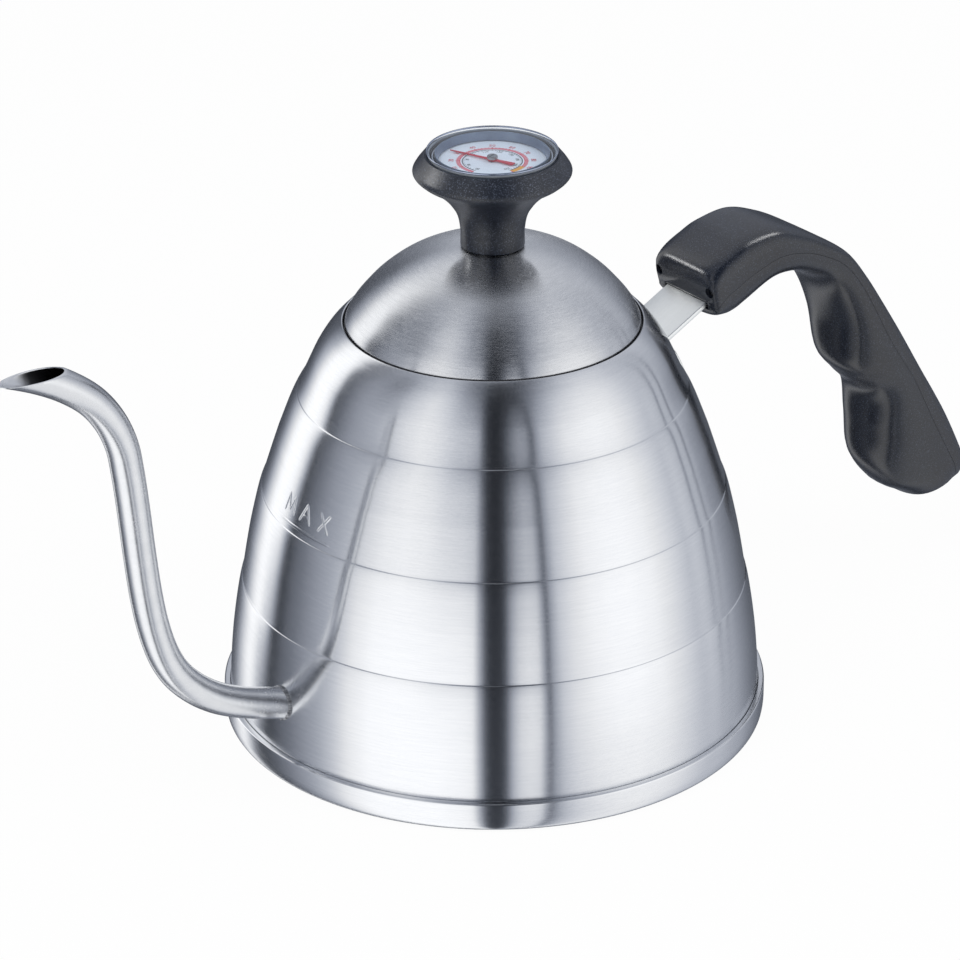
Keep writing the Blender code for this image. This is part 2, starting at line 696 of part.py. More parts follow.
def make_grip(mats):
    upper = grip_shell("grip_outer_shell", True, mats["plastic"])
    lower = grip_shell("grip_inner_shell", False, mats["plastic"])
    front = grip_points(GRIP[1])[0].x
    for name, side in (("near", -1), ("far", 1)):
        centre = Vector((front + GRUB_SET + GRUB_L / 2, side * GRIP_SCREW_Y, GRIP_SCREW_Z))
        bore_frame = aim(centre - Vector((4 * MM - GAP, 0, 0)), (1, 0, 0))
        for shell in (upper, lower):
            bore = rod_bmesh(GRUB_R + GAP, GRUB_L + 8 * MM, SCREW_STEPS, bore_frame)
            combine(shell, make_cutter(f"{shell.name}_bore_{name}", bore), "DIFFERENCE", "MANIFOLD")
        grub = rod_bmesh(GRUB_R, GRUB_L, SCREW_STEPS, aim(centre, (1, 0, 0)))
        add_object(f"grip_grub_screw_{name}", grub, mats["screw"])
    start, along = end_screw_frame()
    shank_middle = start + along * (END_SCREW_SINK + END_SCREW_L / 2)
    shank_bore = rod_bmesh(END_SCREW_R + GAP, END_SCREW_L + 2 * GAP, SCREW_STEPS, aim(shank_middle, along))
    pocket_l = END_SCREW_SINK + END_SCREW_HEAD_H + GAP
    pocket_middle = start + along * (pocket_l / 2 - 5 * MM)
    pocket = rod_bmesh(END_SCREW_HEAD_R + GAP, pocket_l + 10 * MM, 16, aim(pocket_middle, along))
    for shell in (upper, lower):
        combine(shell, make_cutter(shell.name + "_shank_bore", shank_bore.copy()), "DIFFERENCE", "MANIFOLD")
    shank_bore.free()
    combine(lower, make_cutter("end_screw_pocket", pocket), "DIFFERENCE", "MANIFOLD")
    head_low = END_SCREW_SINK
    rings = []
    for reach, radius in (
        (head_low, END_SCREW_HEAD_R),
        (head_low + END_SCREW_HEAD_H, END_SCREW_HEAD_R),
        (head_low + END_SCREW_HEAD_H, END_SCREW_R),
        (head_low + END_SCREW_L, END_SCREW_R),
    ):
        frame = aim(start + along * reach, along)
        angles = [math.tau * k / SCREW_STEPS for k in range(SCREW_STEPS)]
        rings.append([frame @ Vector((radius * math.cos(a), radius * math.sin(a), 0.0)) for a in angles])
    add_object("grip_end_screw", loft(rings), mats["screw"])


# Lid and knob ---------------------------------------------------------------------------------------


def lid_low_z():
    return LEDGE_Z + GAP


def lid_hole_r():
    return SLEEVE_R + GAP


def dome_points():
    """Points of the dome, spread with the lid so that they always end outside its hole."""
    spread = (LID_R - lid_hole_r()) / DOME_REACH
    return [(LID_R - inset * MM * spread, LEDGE_Z + rise * MM) for inset, rise in DOME]


def dome_profile():
    """The outer side of the dome from its middle down to the hem."""
    outer = list(reversed(dome_points()))
    hem = [(LID_R - 0.15 * MM, LID_HEM_TOP_Z), (LID_R, LID_HEM_TOP_Z - 0.6 * MM), (LID_R, lid_low_z())]
    return outer + hem


def make_lid(mats):
    outer = [(lid_hole_r(), DOME_TOP_Z)] + dome_profile()
    under = []
    for radius, height in dome_points():
        lean = radius / DOME_BEND_R
        under.append((radius - LID_SHEET * lean, height - LID_SHEET * (1 - lean / 2)))
    hem = [(LID_R - LID_SHEET, lid_low_z()), (LID_R - LID_SHEET, LID_HEM_TOP_Z - 0.2 * MM)]
    under.append((lid_hole_r(), DOME_TOP_Z - LID_SHEET))
    turned("lid_dome", outer + hem + under, mats["steel"], LID_STEPS)
    flange = LID_R - LID_SHEET - GAP
    low = lid_low_z()
    skirt = [
        (SKIRT_R - SHEET, low + SHEET),
        (flange, low + SHEET),
        (flange, low),
        (SKIRT_R, low),
        (SKIRT_R, SKIRT_BOTTOM_Z),
        (SKIRT_R - SHEET, SKIRT_BOTTOM_Z),
    ]
    turned("lid_skirt", skirt, mats["steel"], LID_STEPS)


def make_knob(mats):
    foot_z = DOME_TOP_Z + GAP
    recess_r = CASE_R + GAP
    land_z = KNOB_LAND_Z
    outer = [(KNOB_RIM_R + beyond * MM, DOME_TOP_Z + rise * MM) for beyond, rise in reversed(KNOB)]
    bore = SLEEVE_R + GAP
    profile = [(CRYSTAL_R - 0.4 * MM, land_z)] + outer + [
        (KNOB_FOOT_R, foot_z),
        (bore, foot_z),
        (bore, CASE_FLOOR_Z - GAP),
        (recess_r, CASE_FLOOR_Z - GAP),
        (recess_r, land_z),
    ]
    turned("lid_knob", profile, mats["plastic"], KNOB_STEPS)


def make_lid_fixing(mats):
    under = DOME_TOP_Z - LID_SHEET - GAP - 0.4 * MM
    seal = tube_profile(SEAL_R, lid_hole_r(), under - SEAL_T, under)
    turned("lid_seal_washer", seal, mats["rubber"], SMALL_STEPS)
    top = under - SEAL_T - GAP
    washer = tube_profile(WASHER_R, lid_hole_r(), top - WASHER_T, top)
    turned("lid_washer", washer, mats["screw"], SMALL_STEPS)
    nut_top = top - WASHER_T - GAP
    nut = bmesh.new()
    bmesh.ops.create_cone(
        nut,
        cap_ends=True,
        segments=6,
        radius1=NUT_FLATS / math.sqrt(3),
        radius2=NUT_FLATS / math.sqrt(3),
        depth=NUT_H,
        matrix=Matrix.Translation((0, 0, nut_top - NUT_H / 2)),
    )
    nut_object = add_object("lid_nut", nut, mats["screw"])
    thread = rod_bmesh(lid_hole_r(), 3 * NUT_H, SMALL_STEPS, Matrix.Translation((0, 0, nut_top)))
    combine(nut_object, make_cutter("nut_thread", thread), "DIFFERENCE")


# Thermometer ----------------------------------------------------------------------------------------


def make_thermometer(mats):
    case_bore = CASE_R - CASE_SHEET
    case = [
        (case_bore, CASE_RIM_Z),
        (CASE_R, CASE_RIM_Z),
        (CASE_R, CASE_FLOOR_Z),
        (SLEEVE_R, CASE_FLOOR_Z),
        (SLEEVE_R, SLEEVE_BOTTOM_Z),
        (SLEEVE_BORE_R, SLEEVE_BOTTOM_Z),
        (SLEEVE_BORE_R, CASE_FLOOR_TOP_Z),
        (case_bore, CASE_FLOOR_TOP_Z),
    ]
    turned("thermometer_case", case, mats["steel"], KNOB_STEPS)
    stem = tube_profile(STEM_R, STEM_BORE_R, STEM_BOTTOM_Z, CASE_FLOOR_TOP_Z)
    turned("thermometer_stem", stem, mats["steel"], SMALL_STEPS)
    plug_top = STEM_BOTTOM_Z + PLUG_H
    plug = disc_profile(STEM_BORE_R - GAP, STEM_BOTTOM_Z + 0.2 * MM, plug_top)
    turned("stem_plug", plug, mats["steel"], SMALL_STEPS)
    dial_low = DIAL_Z - DIAL_T
    dial = tube_profile(DIAL_R, SPINDLE_R + GAP, dial_low, DIAL_Z)
    turned("dial_plate", dial, mats["dial"], KNOB_STEPS)
    ring_top = CRYSTAL_UNDER_Z - GAP
    spacer = [
        (DIAL_R - 0.4 * MM, ring_top),
        (DIAL_R, ring_top),
        (DIAL_R, DIAL_Z + GAP),
        (DIAL_R - SPACER_W, DIAL_Z + GAP),
    ]
    turned("dial_spacer_ring", spacer, mats["spacer"], KNOB_STEPS)
    support = tube_profile(DIAL_R - 1 * MM, DIAL_R - 3 * MM, CASE_FLOOR_TOP_Z + GAP, dial_low - GAP)
    turned("dial_seat_ring", support, mats["steel"], KNOB_STEPS)
    make_crystal(mats)
    make_needle(mats)
    make_spindle_parts(mats, plug_top)


def make_crystal(mats):
    under, top = CRYSTAL_UNDER_Z, CRYSTAL_UNDER_Z + CRYSTAL_T
    crystal = [
        (0.0, top),
        (CRYSTAL_R - CRYSTAL_BEVEL, top),
        (CRYSTAL_R, top - CRYSTAL_BEVEL / 2),
        (CRYSTAL_R, under),
        (0.0, under),
    ]
    turned("dial_crystal", crystal, mats["glass"], KNOB_STEPS)
    gasket_low = KNOB_LAND_Z + GAP
    gasket = tube_profile(CRYSTAL_R - GAP, CASE_R + 2 * GAP, gasket_low, gasket_low + GASKET_T)
    turned("crystal_gasket", gasket, mats["rubber"], KNOB_STEPS)


def make_needle(mats):
    turn = math.radians(NEEDLE_TURN)
    frame = Matrix.Translation((0, 0, NEEDLE_Z)) @ Matrix.Rotation(turn, 4, "Z")
    near_side = [
        (-NEEDLE_TAIL, 0.9 * MM),
        (-NEEDLE_BOSS - 0.4 * MM, 0.55 * MM),
        (-NEEDLE_BOSS * 0.6, NEEDLE_BOSS),
        (NEEDLE_BOSS * 0.6, NEEDLE_BOSS),
        (NEEDLE_BOSS + 0.4 * MM, 0.45 * MM),
        (NEEDLE_TIP, 0.12 * MM),
    ]
    outline = near_side + [(x, -y) for x, y in reversed(near_side)]
    rings = []
    for height in (0.0, NEEDLE_T):
        rings.append([frame @ Vector((x, y, height)) for x, y in outline])
    needle = add_object("needle", loft(rings), mats["needle"])
    hole_frame = Matrix.Translation((0, 0, NEEDLE_Z))
    hole = rod_bmesh(SPINDLE_R + GAP / 2, 4 * MM, SCREW_STEPS, hole_frame)
    combine(needle, make_cutter("needle_hole", hole), "DIFFERENCE")
    hub_low = NEEDLE_Z + NEEDLE_T + GAP / 2
    hub = [
        (0.0, hub_low + HUB_H),
        (HUB_R * 0.7, hub_low + HUB_H),
        (HUB_R, hub_low + HUB_H * 0.5),
        (HUB_R, hub_low),
        (0.0, hub_low),
    ]
    turned("needle_hub", hub, mats["screw"], SMALL_STEPS)


def make_spindle_parts(mats, plug_top):
    spindle_top = NEEDLE_Z + NEEDLE_T - 0.1 * MM
    coil_low = plug_top + GAP + COIL_WIRE
    spindle = disc_profile(SPINDLE_R, coil_low, spindle_top)
    turned("needle_spindle", spindle, mats["screw"], SCREW_STEPS)
    bush_bore = SPINDLE_R + GAP
    for name, low in (("upper", CASE_FLOOR_TOP_Z - BUSH_H - 2 * MM), ("lower", coil_low + COIL_L + 4 * MM)):
        bush = tube_profile(BUSH_R, bush_bore, low, low + BUSH_H)
        turned(f"spindle_bush_{name}", bush, mats["brass"], SCREW_STEPS)
    rings = []
    count = COIL_TURNS * COIL_STEPS
    for k in range(count + 1):
        angle = math.tau * k / COIL_STEPS
        frame = Vector((math.cos(angle), math.sin(angle), 0.0))
        centre = frame * COIL_R + Vector((0, 0, coil_low + COIL_L * k / count))
        out, up = frame * COIL_WIRE, Vector((0, 0, COIL_WIRE))
        rings.append([centre + out, centre + up, centre - out, centre - up])
    add_object("bimetal_coil", loft(rings), mats["bimetal"])


def main():
    clear_scene()
    mats = {
        "steel": make_material("brushed_steel", (0.66, 0.67, 0.70), 0.28, 1.0),
        "strap": make_material("satin_steel", (0.72, 0.73, 0.74), 0.35, 1.0),
        "aluminium": make_material("aluminium", (0.75, 0.75, 0.76), 0.45, 1.0),
        "plastic": make_material("charcoal_plastic", (0.03, 0.03, 0.036), 0.55, 0.0),
        "screw": make_material("screw_steel", (0.45, 0.45, 0.46), 0.35, 1.0),
        "rubber": make_material("silicone", (0.6, 0.6, 0.58), 0.7, 0.0),
        "dial": make_material("dial_white", (0.85, 0.86, 0.88), 0.5, 0.0),
        "spacer": make_material("spacer_grey", (0.35, 0.4, 0.46), 0.4, 0.0),
        "glass": make_material("crystal", (0.9, 0.93, 0.96), 0.05, 0.0),
        "needle": make_material("needle_red", (0.6, 0.03, 0.05), 0.45, 0.0),
        "brass": make_material("brass", (0.75, 0.58, 0.28), 0.35, 1.0),
        "bimetal": make_material("bimetal", (0.6, 0.5, 0.42), 0.4, 1.0),
    }
    make_body(mats)
    make_base(mats)
    make_spout(mats)
    make_strap(mats)
    make_grip(mats)
    make_lid(mats)
    make_knob(mats)
    make_lid_fixing(mats)
    make_thermometer(mats)


main()
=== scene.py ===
import json
import math
import random

import bmesh
import bpy
from mathutils import Matrix, Vector

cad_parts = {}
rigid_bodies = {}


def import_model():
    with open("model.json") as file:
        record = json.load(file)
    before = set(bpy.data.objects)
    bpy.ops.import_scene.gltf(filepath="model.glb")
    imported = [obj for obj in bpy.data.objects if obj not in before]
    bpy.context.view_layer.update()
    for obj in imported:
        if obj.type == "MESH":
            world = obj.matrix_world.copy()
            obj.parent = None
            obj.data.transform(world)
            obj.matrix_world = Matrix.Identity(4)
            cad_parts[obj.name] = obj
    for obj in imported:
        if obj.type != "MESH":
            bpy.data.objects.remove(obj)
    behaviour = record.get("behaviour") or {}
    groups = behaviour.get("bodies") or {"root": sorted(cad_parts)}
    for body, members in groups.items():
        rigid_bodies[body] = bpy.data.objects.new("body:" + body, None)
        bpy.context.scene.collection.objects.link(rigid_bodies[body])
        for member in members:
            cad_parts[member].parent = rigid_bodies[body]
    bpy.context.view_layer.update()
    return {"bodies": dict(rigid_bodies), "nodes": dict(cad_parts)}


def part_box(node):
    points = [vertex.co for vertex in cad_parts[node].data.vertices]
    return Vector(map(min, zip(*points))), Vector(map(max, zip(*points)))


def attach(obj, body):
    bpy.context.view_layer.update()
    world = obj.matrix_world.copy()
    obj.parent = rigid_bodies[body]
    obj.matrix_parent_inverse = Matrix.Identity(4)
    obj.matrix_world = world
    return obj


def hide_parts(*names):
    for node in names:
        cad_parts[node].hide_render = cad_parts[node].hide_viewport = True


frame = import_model()
nodes = frame["nodes"]
mm = 0.001
kept = set(nodes.values()) | set(frame["bodies"].values())
for spare in [thing for thing in bpy.data.objects if thing not in kept]:
    bpy.data.objects.remove(spare)
print("frame loaded:", len(nodes), "nodes")


# Shader building: Wire wraps one socket so that sums read as sums, Finish makes the nodes

class Wire:
    def __init__(self, finish, socket):
        self.finish = finish
        self.socket = socket

    def math(self, operation, other, swapped=False):
        values = {0: other, 1: self} if swapped else {0: self, 1: other}
        return self.finish.node("ShaderNodeMath", values, {"operation": operation})

    def __add__(self, other):
        return self.math("ADD", other)

    def __radd__(self, other):
        return self.math("ADD", other, True)

    def __sub__(self, other):
        return self.math("SUBTRACT", other)

    def __rsub__(self, other):
        return self.math("SUBTRACT", other, True)

    def __mul__(self, other):
        return self.math("MULTIPLY", other)

    def __rmul__(self, other):
        return self.math("MULTIPLY", other, True)

    def __truediv__(self, other):
        return self.math("DIVIDE", other)

    def __rtruediv__(self, other):
        return self.math("DIVIDE", other, True)

    def __pow__(self, other):
        return self.math("POWER", other)

    def ramp(self, low, high):
        # 0 below low, 1 above high
        values = {"Value": self, "From Min": low, "From Max": high, "To Min": 0.0, "To Max": 1.0}
        return self.finish.node("ShaderNodeMapRange", values, {"interpolation_type": "SMOOTHSTEP"})


class Finish:
    def __init__(self, name, world=False):
        self.material = (bpy.data.worlds if world else bpy.data.materials).new(name)
        self.material.use_nodes = True
        self.tree = self.material.node_tree
        self.tree.nodes.clear()
        self.out = self.tree.nodes.new("ShaderNodeOutputWorld" if world else "ShaderNodeOutputMaterial")

    def node(self, kind, values=None, settings=None, give=0):
        made = self.tree.nodes.new(kind)
        for key, value in (settings or {}).items():
            setattr(made, key, value)
        for key, value in (values or {}).items():
            socket = made.inputs[key]
            if isinstance(value, Wire):
                self.tree.links.new(value.socket, socket)
            elif socket.type == "RGBA":
                socket.default_value = (*value, 1.0)
            else:
                socket.default_value = value
        return Wire(self, made.outputs[give])

    def blend(self, share, low, high):
        settings = {"data_type": "RGBA", "clamp_factor": True}
        return self.node("ShaderNodeMix", {0: share, 6: low, 7: high}, settings, 2)

    def place(self):
        return self.node("ShaderNodeTexCoord", give="Object")

    def outputs(self, kind, names, values=None):
        made = self.node(kind, values).socket.node
        return [Wire(self, made.outputs[name]) for name in names]

    def split(self, vector):
        return self.outputs("ShaderNodeSeparateXYZ", range(3), {0: vector})

    def join(self, x, y, z):
        return self.node("ShaderNodeCombineXYZ", {0: x, 1: y, 2: z})

    def noise(self, vector, scale, detail=2.0, rough=0.5):
        values = {"Vector": vector, "Scale": scale, "Detail": detail, "Roughness": rough}
        return self.node("ShaderNodeTexNoise", values)

    def bump(self, height, distance, strength):
        return self.node("ShaderNodeBump", {"Height": height, "Distance": distance, "Strength": strength})

    def mix(self, share, first, second):
        return self.end(self.node("ShaderNodeMixShader", {0: share, 1: first, 2: second}))

    def end(self, shader):
        self.tree.links.new(shader.socket, self.out.inputs[0])
        return self.material

    def coat(self, **values):
        names = {key.replace("_", " "): value for key, value in values.items()}
        return self.end(self.node("ShaderNodeBsdfPrincipled", names))


# Finishes

steel = {
    "colour": (0.82, 0.83, 0.85),
    "dark": (0.73, 0.745, 0.775),
    "rough": 0.17,
    "stretch": 1.0,
    # strokes to a radian round the axis, strokes to a metre across, and how broken they are
    "lines": (12.0, 2600.0, 0.6),
    "wide": (5.0, 1300.0, 0.5),
    "specks": (60.0, 3200.0, 0.7),
    "tone": (0.35, 0.25, 0.4),  # how much of the tone each of the three gives
    "speckRough": 0.18,
    "cloud": 38.0,
    "depth": 0.00002,
}


def turnedSteel(name, extra=0.0):
    # brushed round the axis, so highlights smear along the height; extra makes the brushing coarser
    f = Finish(name)
    x, y, z = f.split(f.place())
    reach = (x * x + y * y) ** 0.5 + 0.0005

    def strokes(kind):
        runs, across, broken = steel[kind]
        return f.noise(f.join(x / reach * runs, y / reach * runs, (z - reach) * across), 1.0, 2.0, broken)

    lines, wide, specks = strokes("lines"), strokes("wide"), strokes("specks")
    cloud = f.noise(f.place(), steel["cloud"], 2.0)
    a, b, c = steel["tone"]
    tone = lines.ramp(0.25, 0.75) * a + wide.ramp(0.3, 0.7) * b + specks.ramp(0.3, 0.7) * c
    dark = tuple(part * (1.0 - extra * 2.5) for part in steel["dark"])
    rough = steel["rough"] + extra + (lines - 0.5) * (0.04 + extra * 2.0) + (cloud - 0.5) * 0.02
    return f.coat(
        Base_Color=f.blend(tone, dark, steel["colour"]), Metallic=1.0,
        Roughness=rough + (specks - 0.5) * steel["speckRough"], Anisotropic=steel["stretch"],
        Anisotropic_Rotation=0.25, Normal=f.bump(lines, steel["depth"], 0.12 + extra * 6.0),
    )


def plainSteel(name, colour, dark, rough, grain, depth, stretch=(1, 1, 1)):
    f = Finish(name)
    x, y, z = f.split(f.place())
    place = f.join(x * stretch[0], y * stretch[1], z * stretch[2])
    fine = f.noise(place, grain, 3.0, 0.6)
    wide = f.noise(place, grain / 9, 2.0)
    shade = f.blend(fine.ramp(0.3, 0.7) * 0.6 + wide.ramp(0.3, 0.7) * 0.4, dark, colour)
    return f.coat(
        Base_Color=shade, Metallic=1.0, Roughness=rough + (fine - 0.5) * 0.14 + (wide - 0.5) * 0.06,
        Normal=f.bump(fine, depth, 0.5),
    )


# painted shade: the bore's inside is coloured near black for the shadow in the tube; these give where it
# turns to plain steel behind the lip
mouth = {
    "dark": (0.055, 0.056, 0.060),
    "light": (0.80, 0.81, 0.83),
    "from": -0.1525,  # metres, where the painted shade begins to give way to plain steel
    "to": -0.1585,  # and where the plain steel colour is full
    "cloud": 300.0,
}


def boreSteel():
    # painted shade: the tube's inside is coloured near black and rougher, for the shadow down the bore; only
    # behind its lip does it take the plain steel colour
    f = Finish("boreSteel")
    place = f.place()
    x, _, _ = f.split(place)
    cloud = f.noise(place, mouth["cloud"], 2.0)
    # share is 1 where the plain steel colour shows and 0 under the painted shade
    share = 1 - (x + (cloud - 0.5) * 0.002).ramp(mouth["to"], mouth["from"])
    return f.coat(
        Base_Color=f.blend(share, mouth["dark"], mouth["light"]), Metallic=1.0,
        Roughness=0.55 - share * 0.2 + (cloud - 0.5) * 0.1, Normal=f.bump(cloud, 0.00002, 0.3),
    )


plastic = {
    "colour": (0.003, 0.0045, 0.010),
    "worn": (0.005, 0.008, 0.016),
    "fleck": (0.085, 0.10, 0.14),
    "grain": 2600.0,
    "fleckSize": 2900.0,
    "fleckEdge": (0.50, 0.78),
    "cloud": 55.0,
    "depth": 0.00008,
    "ior": 1.6,
}


def mouldedPlastic(name, rough, flecks):
    # charcoal plastic with a fine spark-eroded grain and pale flecks
    f = Finish(name)
    place = f.place()
    grain = f.noise(place, plastic["grain"], 2.0, 0.6)
    spots = f.noise(place, plastic["fleckSize"], 1.0).ramp(*plastic["fleckEdge"])
    cloud = f.noise(place, plastic["cloud"], 3.0)
    colour = f.blend(cloud.ramp(0.3, 0.7), plastic["colour"], plastic["worn"])
    colour = f.blend(spots * flecks, colour, plastic["fleck"])
    return f.coat(
        Base_Color=colour, Roughness=rough + (grain - 0.5) * 0.25 + (cloud - 0.5) * 0.05,
        IOR=plastic["ior"], Specular_IOR_Level=0.5,
        Normal=f.bump(grain + spots * 0.4, plastic["depth"], 0.35),
    )


def plainCoat(name, colour, other, rough, scale, metallic=0.0):
    f = Finish(name)
    place = f.place()
    cloud = f.noise(place, scale, 3.0)
    grain = f.noise(place, scale * 9, 1.0)
    return f.coat(
        Base_Color=f.blend(cloud.ramp(0.25, 0.75), colour, other), Metallic=metallic,
        Roughness=rough + (cloud - 0.5) * 0.12, Normal=f.bump(grain, 0.00002, 0.4),
    )


glass = {
    "tint": (0.93, 0.955, 0.985),
    "rough": (0.02, 0.03),  # and how much it varies
    "cloud": 60.0,
    "ior": 1.42,
}


def clearGlass():
    # a clear pane: light passes straight through it and the surface only adds its gloss
    f = Finish("clearCrystal")
    rough, varied = glass["rough"]
    through = f.node("ShaderNodeBsdfTransparent", {"Color": glass["tint"]})
    cloud = f.noise(f.place(), glass["cloud"], 2.0)
    values = {"Color": (1.0, 1.0, 1.0), "Roughness": rough + cloud * varied}
    gloss = f.node("ShaderNodeBsdfAnisotropic", values)
    edge = f.node("ShaderNodeFresnel", {"IOR": glass["ior"]})
    back, = f.outputs("ShaderNodeNewGeometry", ["Backfacing"])
    return f.mix(edge * (1 - back), through, gloss)


finishes = {
    "turned": turnedSteel("turnedSteel"),
    "lid": turnedSteel("lidSteel", 0.07),
    "spout": plainSteel("satinSteel", (0.78, 0.79, 0.81), (0.70, 0.715, 0.74), 0.25, 2600, 0.000006),
    # painted shade inside the tube's bore
    "bore": boreSteel(),
    # painted shade: near-grey steel for the faces in the gap between lid and body, standing in for the shadow
    # there
    "shade": plainSteel("seamSteel", (0.34, 0.345, 0.36), (0.26, 0.265, 0.28), 0.45, 1800, 0.00001),
    "bead": plainSteel("weldSteel", (0.72, 0.73, 0.75), (0.10, 0.105, 0.12), 0.18, 900, 0.00016),
    "strap": plainSteel("strapSteel", (0.88, 0.90, 0.90), (0.80, 0.82, 0.82), 0.36, 900, 0.00002, (1, 5, 1)),
    "inner": plainSteel("drawnSteel", (0.62, 0.63, 0.65), (0.50, 0.51, 0.53), 0.38, 1200, 0.00003),
    "screw": plainSteel("screwSteel", (0.42, 0.42, 0.43), (0.24, 0.24, 0.25), 0.32, 1800, 0.00004),
    "hub": plainSteel("hubSteel", (0.46, 0.45, 0.44), (0.30, 0.29, 0.29), 0.34, 2400, 0.00004),
    "aluminium": plainSteel("castAluminium", (0.72, 0.72, 0.73), (0.60, 0.60, 0.62), 0.5, 700, 0.00008),
    "brass": plainSteel("turnedBrass", (0.75, 0.57, 0.27), (0.62, 0.44, 0.19), 0.3, 1400, 0.00003),
    "bimetal": plainSteel("bimetalStrip", (0.60, 0.50, 0.42), (0.45, 0.35, 0.28), 0.36, 1600, 0.00003),
    "knob": mouldedPlastic("knobPlastic", 0.34, 1.0),
    "grip": mouldedPlastic("gripPlastic", 0.22, 0.45),
    "silicone": plainCoat("silicone", (0.20, 0.22, 0.25), (0.27, 0.29, 0.32), 0.5, 180),
    "dial": plainCoat("dialWhite", (0.86, 0.89, 0.93), (0.92, 0.94, 0.97), 0.5, 120),
    "ring": plainCoat("spacerBlue", (0.14, 0.18, 0.26), (0.22, 0.27, 0.35), 0.32, 160, 0.3),
    "red": plainCoat("printRed", (0.62, 0.035, 0.07), (0.74, 0.07, 0.11), 0.5, 260),
    "pink": plainCoat("printPink", (0.80, 0.22, 0.26), (0.86, 0.34, 0.37), 0.5, 300),
    "black": plainCoat("printBlack", (0.03, 0.035, 0.04), (0.07, 0.075, 0.08), 0.5, 300),
    "orange": plainCoat("printOrange", (0.86, 0.33, 0.03), (0.92, 0.45, 0.06), 0.5, 300),
    "needle": plainCoat("needleRed", (0.55, 0.012, 0.04), (0.66, 0.03, 0.06), 0.4, 300),
    "crystal": clearGlass(),
    "crystalEdge": plainCoat("crystalEdge", (0.42, 0.47, 0.60), (0.50, 0.55, 0.68), 0.15, 90, 0.85),
}
print("finishes made:", len(finishes))


# Mesh helpers

def polar(reach, turn, height):
    return Vector((reach * math.cos(turn), reach * math.sin(turn), height))


def addObject(name, data):
    thing = bpy.data.objects.new(name, data)
    bpy.context.scene.collection.objects.link(thing)
    return thing


def meshFrom(bm, name, material):
    mesh = bpy.data.meshes.new(name)
    bm.to_mesh(mesh)
    bm.free()
    mesh.materials.append(material)
    return addObject(name, mesh)


def plainMesh(thing):
    # the object with its modifiers applied, or its letters filled in
    return bpy.data.meshes.new_from_object(thing.evaluated_get(bpy.context.evaluated_depsgraph_get()))


def smoothAgain(thing, sharp):
    thing.data.shade_smooth()
    thing.data.set_sharp_from_angle(angle=math.radians(sharp))


def finishMesh(bm, name, material, sharp=None):
    # edges sharper than this many degrees stay sharp; None leaves every face flat
    bmesh.ops.remove_doubles(bm, verts=bm.verts, dist=1e-7)
    bmesh.ops.recalc_face_normals(bm, faces=bm.faces)
    thing = meshFrom(bm, name, finishes[material])
    if sharp is not None:
        smoothAgain(thing, sharp)
    return thing


def dress(thing, body, slot, *replaced):
    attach(thing, body)
    if replaced:
        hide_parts(*replaced)
    return thing


def secondFinish(thing, material, chosen):
    # the faces that chosen(face, radius, height) picks take a second finish; lengths in millimetres
    thing.data.materials.append(finishes[material])
    for face in thing.data.polygons:
        if chosen(face, math.hypot(face.center.x, face.center.y) / mm, face.center.z / mm):
            face.material_index = 1
    return thing


def rounded(corners, steps):
    # (radius, height, fillet) in millimetres round a closed outline; a fillet of 0 keeps the corner
    points = []
    count = len(corners)
    for k, (r, z, fillet) in enumerate(corners):
        here = Vector((r, z))
        before = Vector(corners[k - 1][:2]) - here
        after = Vector(corners[(k + 1) % count][:2]) - here
        cut = min(fillet, before.length * 0.48, after.length * 0.48)
        if cut < 1e-4:
            points.append(here)
            continue
        start, end = here + before.normalized() * cut, here + after.normalized() * cut
        for j in range(steps + 1):
            s = j / steps
            points.append(start * (1 - s) ** 2 + here * (2 * s * (1 - s)) + end * s * s)
    return [(p.x * mm, p.y * mm) for p in points]


def curve(points, count):
    # evenly spaced points on a Catmull-Rom curve; lengths are taken on the first two numbers
    pts = [Vector(p) for p in points]
    pts = [2 * pts[0] - pts[1]] + pts + [2 * pts[-1] - pts[-2]]
    fine = []
    for a, b, c, d in zip(pts, pts[1:], pts[2:], pts[3:]):
        for k in range(16):
            t = k / 16
            fine.append(0.5 * (2 * b + (c - a) * t + (2 * a - 5 * b + 4 * c - d) * t * t
                               + (3 * b - a - 3 * c + d) * t ** 3))
    fine.append(pts[-2])
    lengths = [0.0]
    for a, b in zip(fine, fine[1:]):
        lengths.append(lengths[-1] + math.hypot(b[0] - a[0], b[1] - a[1]))
    out = []
    i = 0
    for k in range(count + 1):
        want = lengths[-1] * k / count
        while i < len(fine) - 2 and lengths[i + 1] < want:
            i += 1
        span = lengths[i + 1] - lengths[i]
        out.append(fine[i].lerp(fine[i + 1], min(1.0, max(0.0, (want - lengths[i]) / span))))
    return out


def turned(name, outline, steps, material, sharp=50.0):
    # a closed outline of (radius, height) turned round the axis
    bm = bmesh.new()
    rings = []
    for r, z in outline:
        if r < 1e-6:
            rings.append([bm.verts.new((0, 0, z))])
            continue
        rings.append([bm.verts.new(polar(r, math.tau * k / steps, z)) for k in range(steps)])
    for low, high in zip(rings, rings[1:] + rings[:1]):
        if len(low) == 1 and len(high) == 1:
            continue
        for k in range(steps):
            n = (k + 1) % steps
            corners = [low[k % len(low)], low[n % len(low)], high[n % len(high)], high[k % len(high)]]
            unique = []
            for v in corners:
                if v not in unique:
                    unique.append(v)
            bm.faces.new(unique)
    return finishMesh(bm, name, material, sharp)


def skin(bm, rings, closed=False):
    # quads between rings of equal length; the last joins the first, or both get a cap
    loops = [[bm.verts.new(p) for p in ring] for ring in rings]
    count = len(loops[0])
    pairs = list(zip(loops, loops[1:]))
    if closed:
        pairs.append((loops[-1], loops[0]))
    for low, high in pairs:
        for k in range(count):
            n = (k + 1) % count
            bm.faces.new((low[k], low[n], high[n], high[k]))
    if not closed:
        for loop in (loops[0], loops[-1]):
            middle = bm.verts.new(sum((v.co for v in loop), Vector()) / count)
            for k in range(count):
                bm.faces.new((loop[k], loop[(k + 1) % count], middle))
    return bm


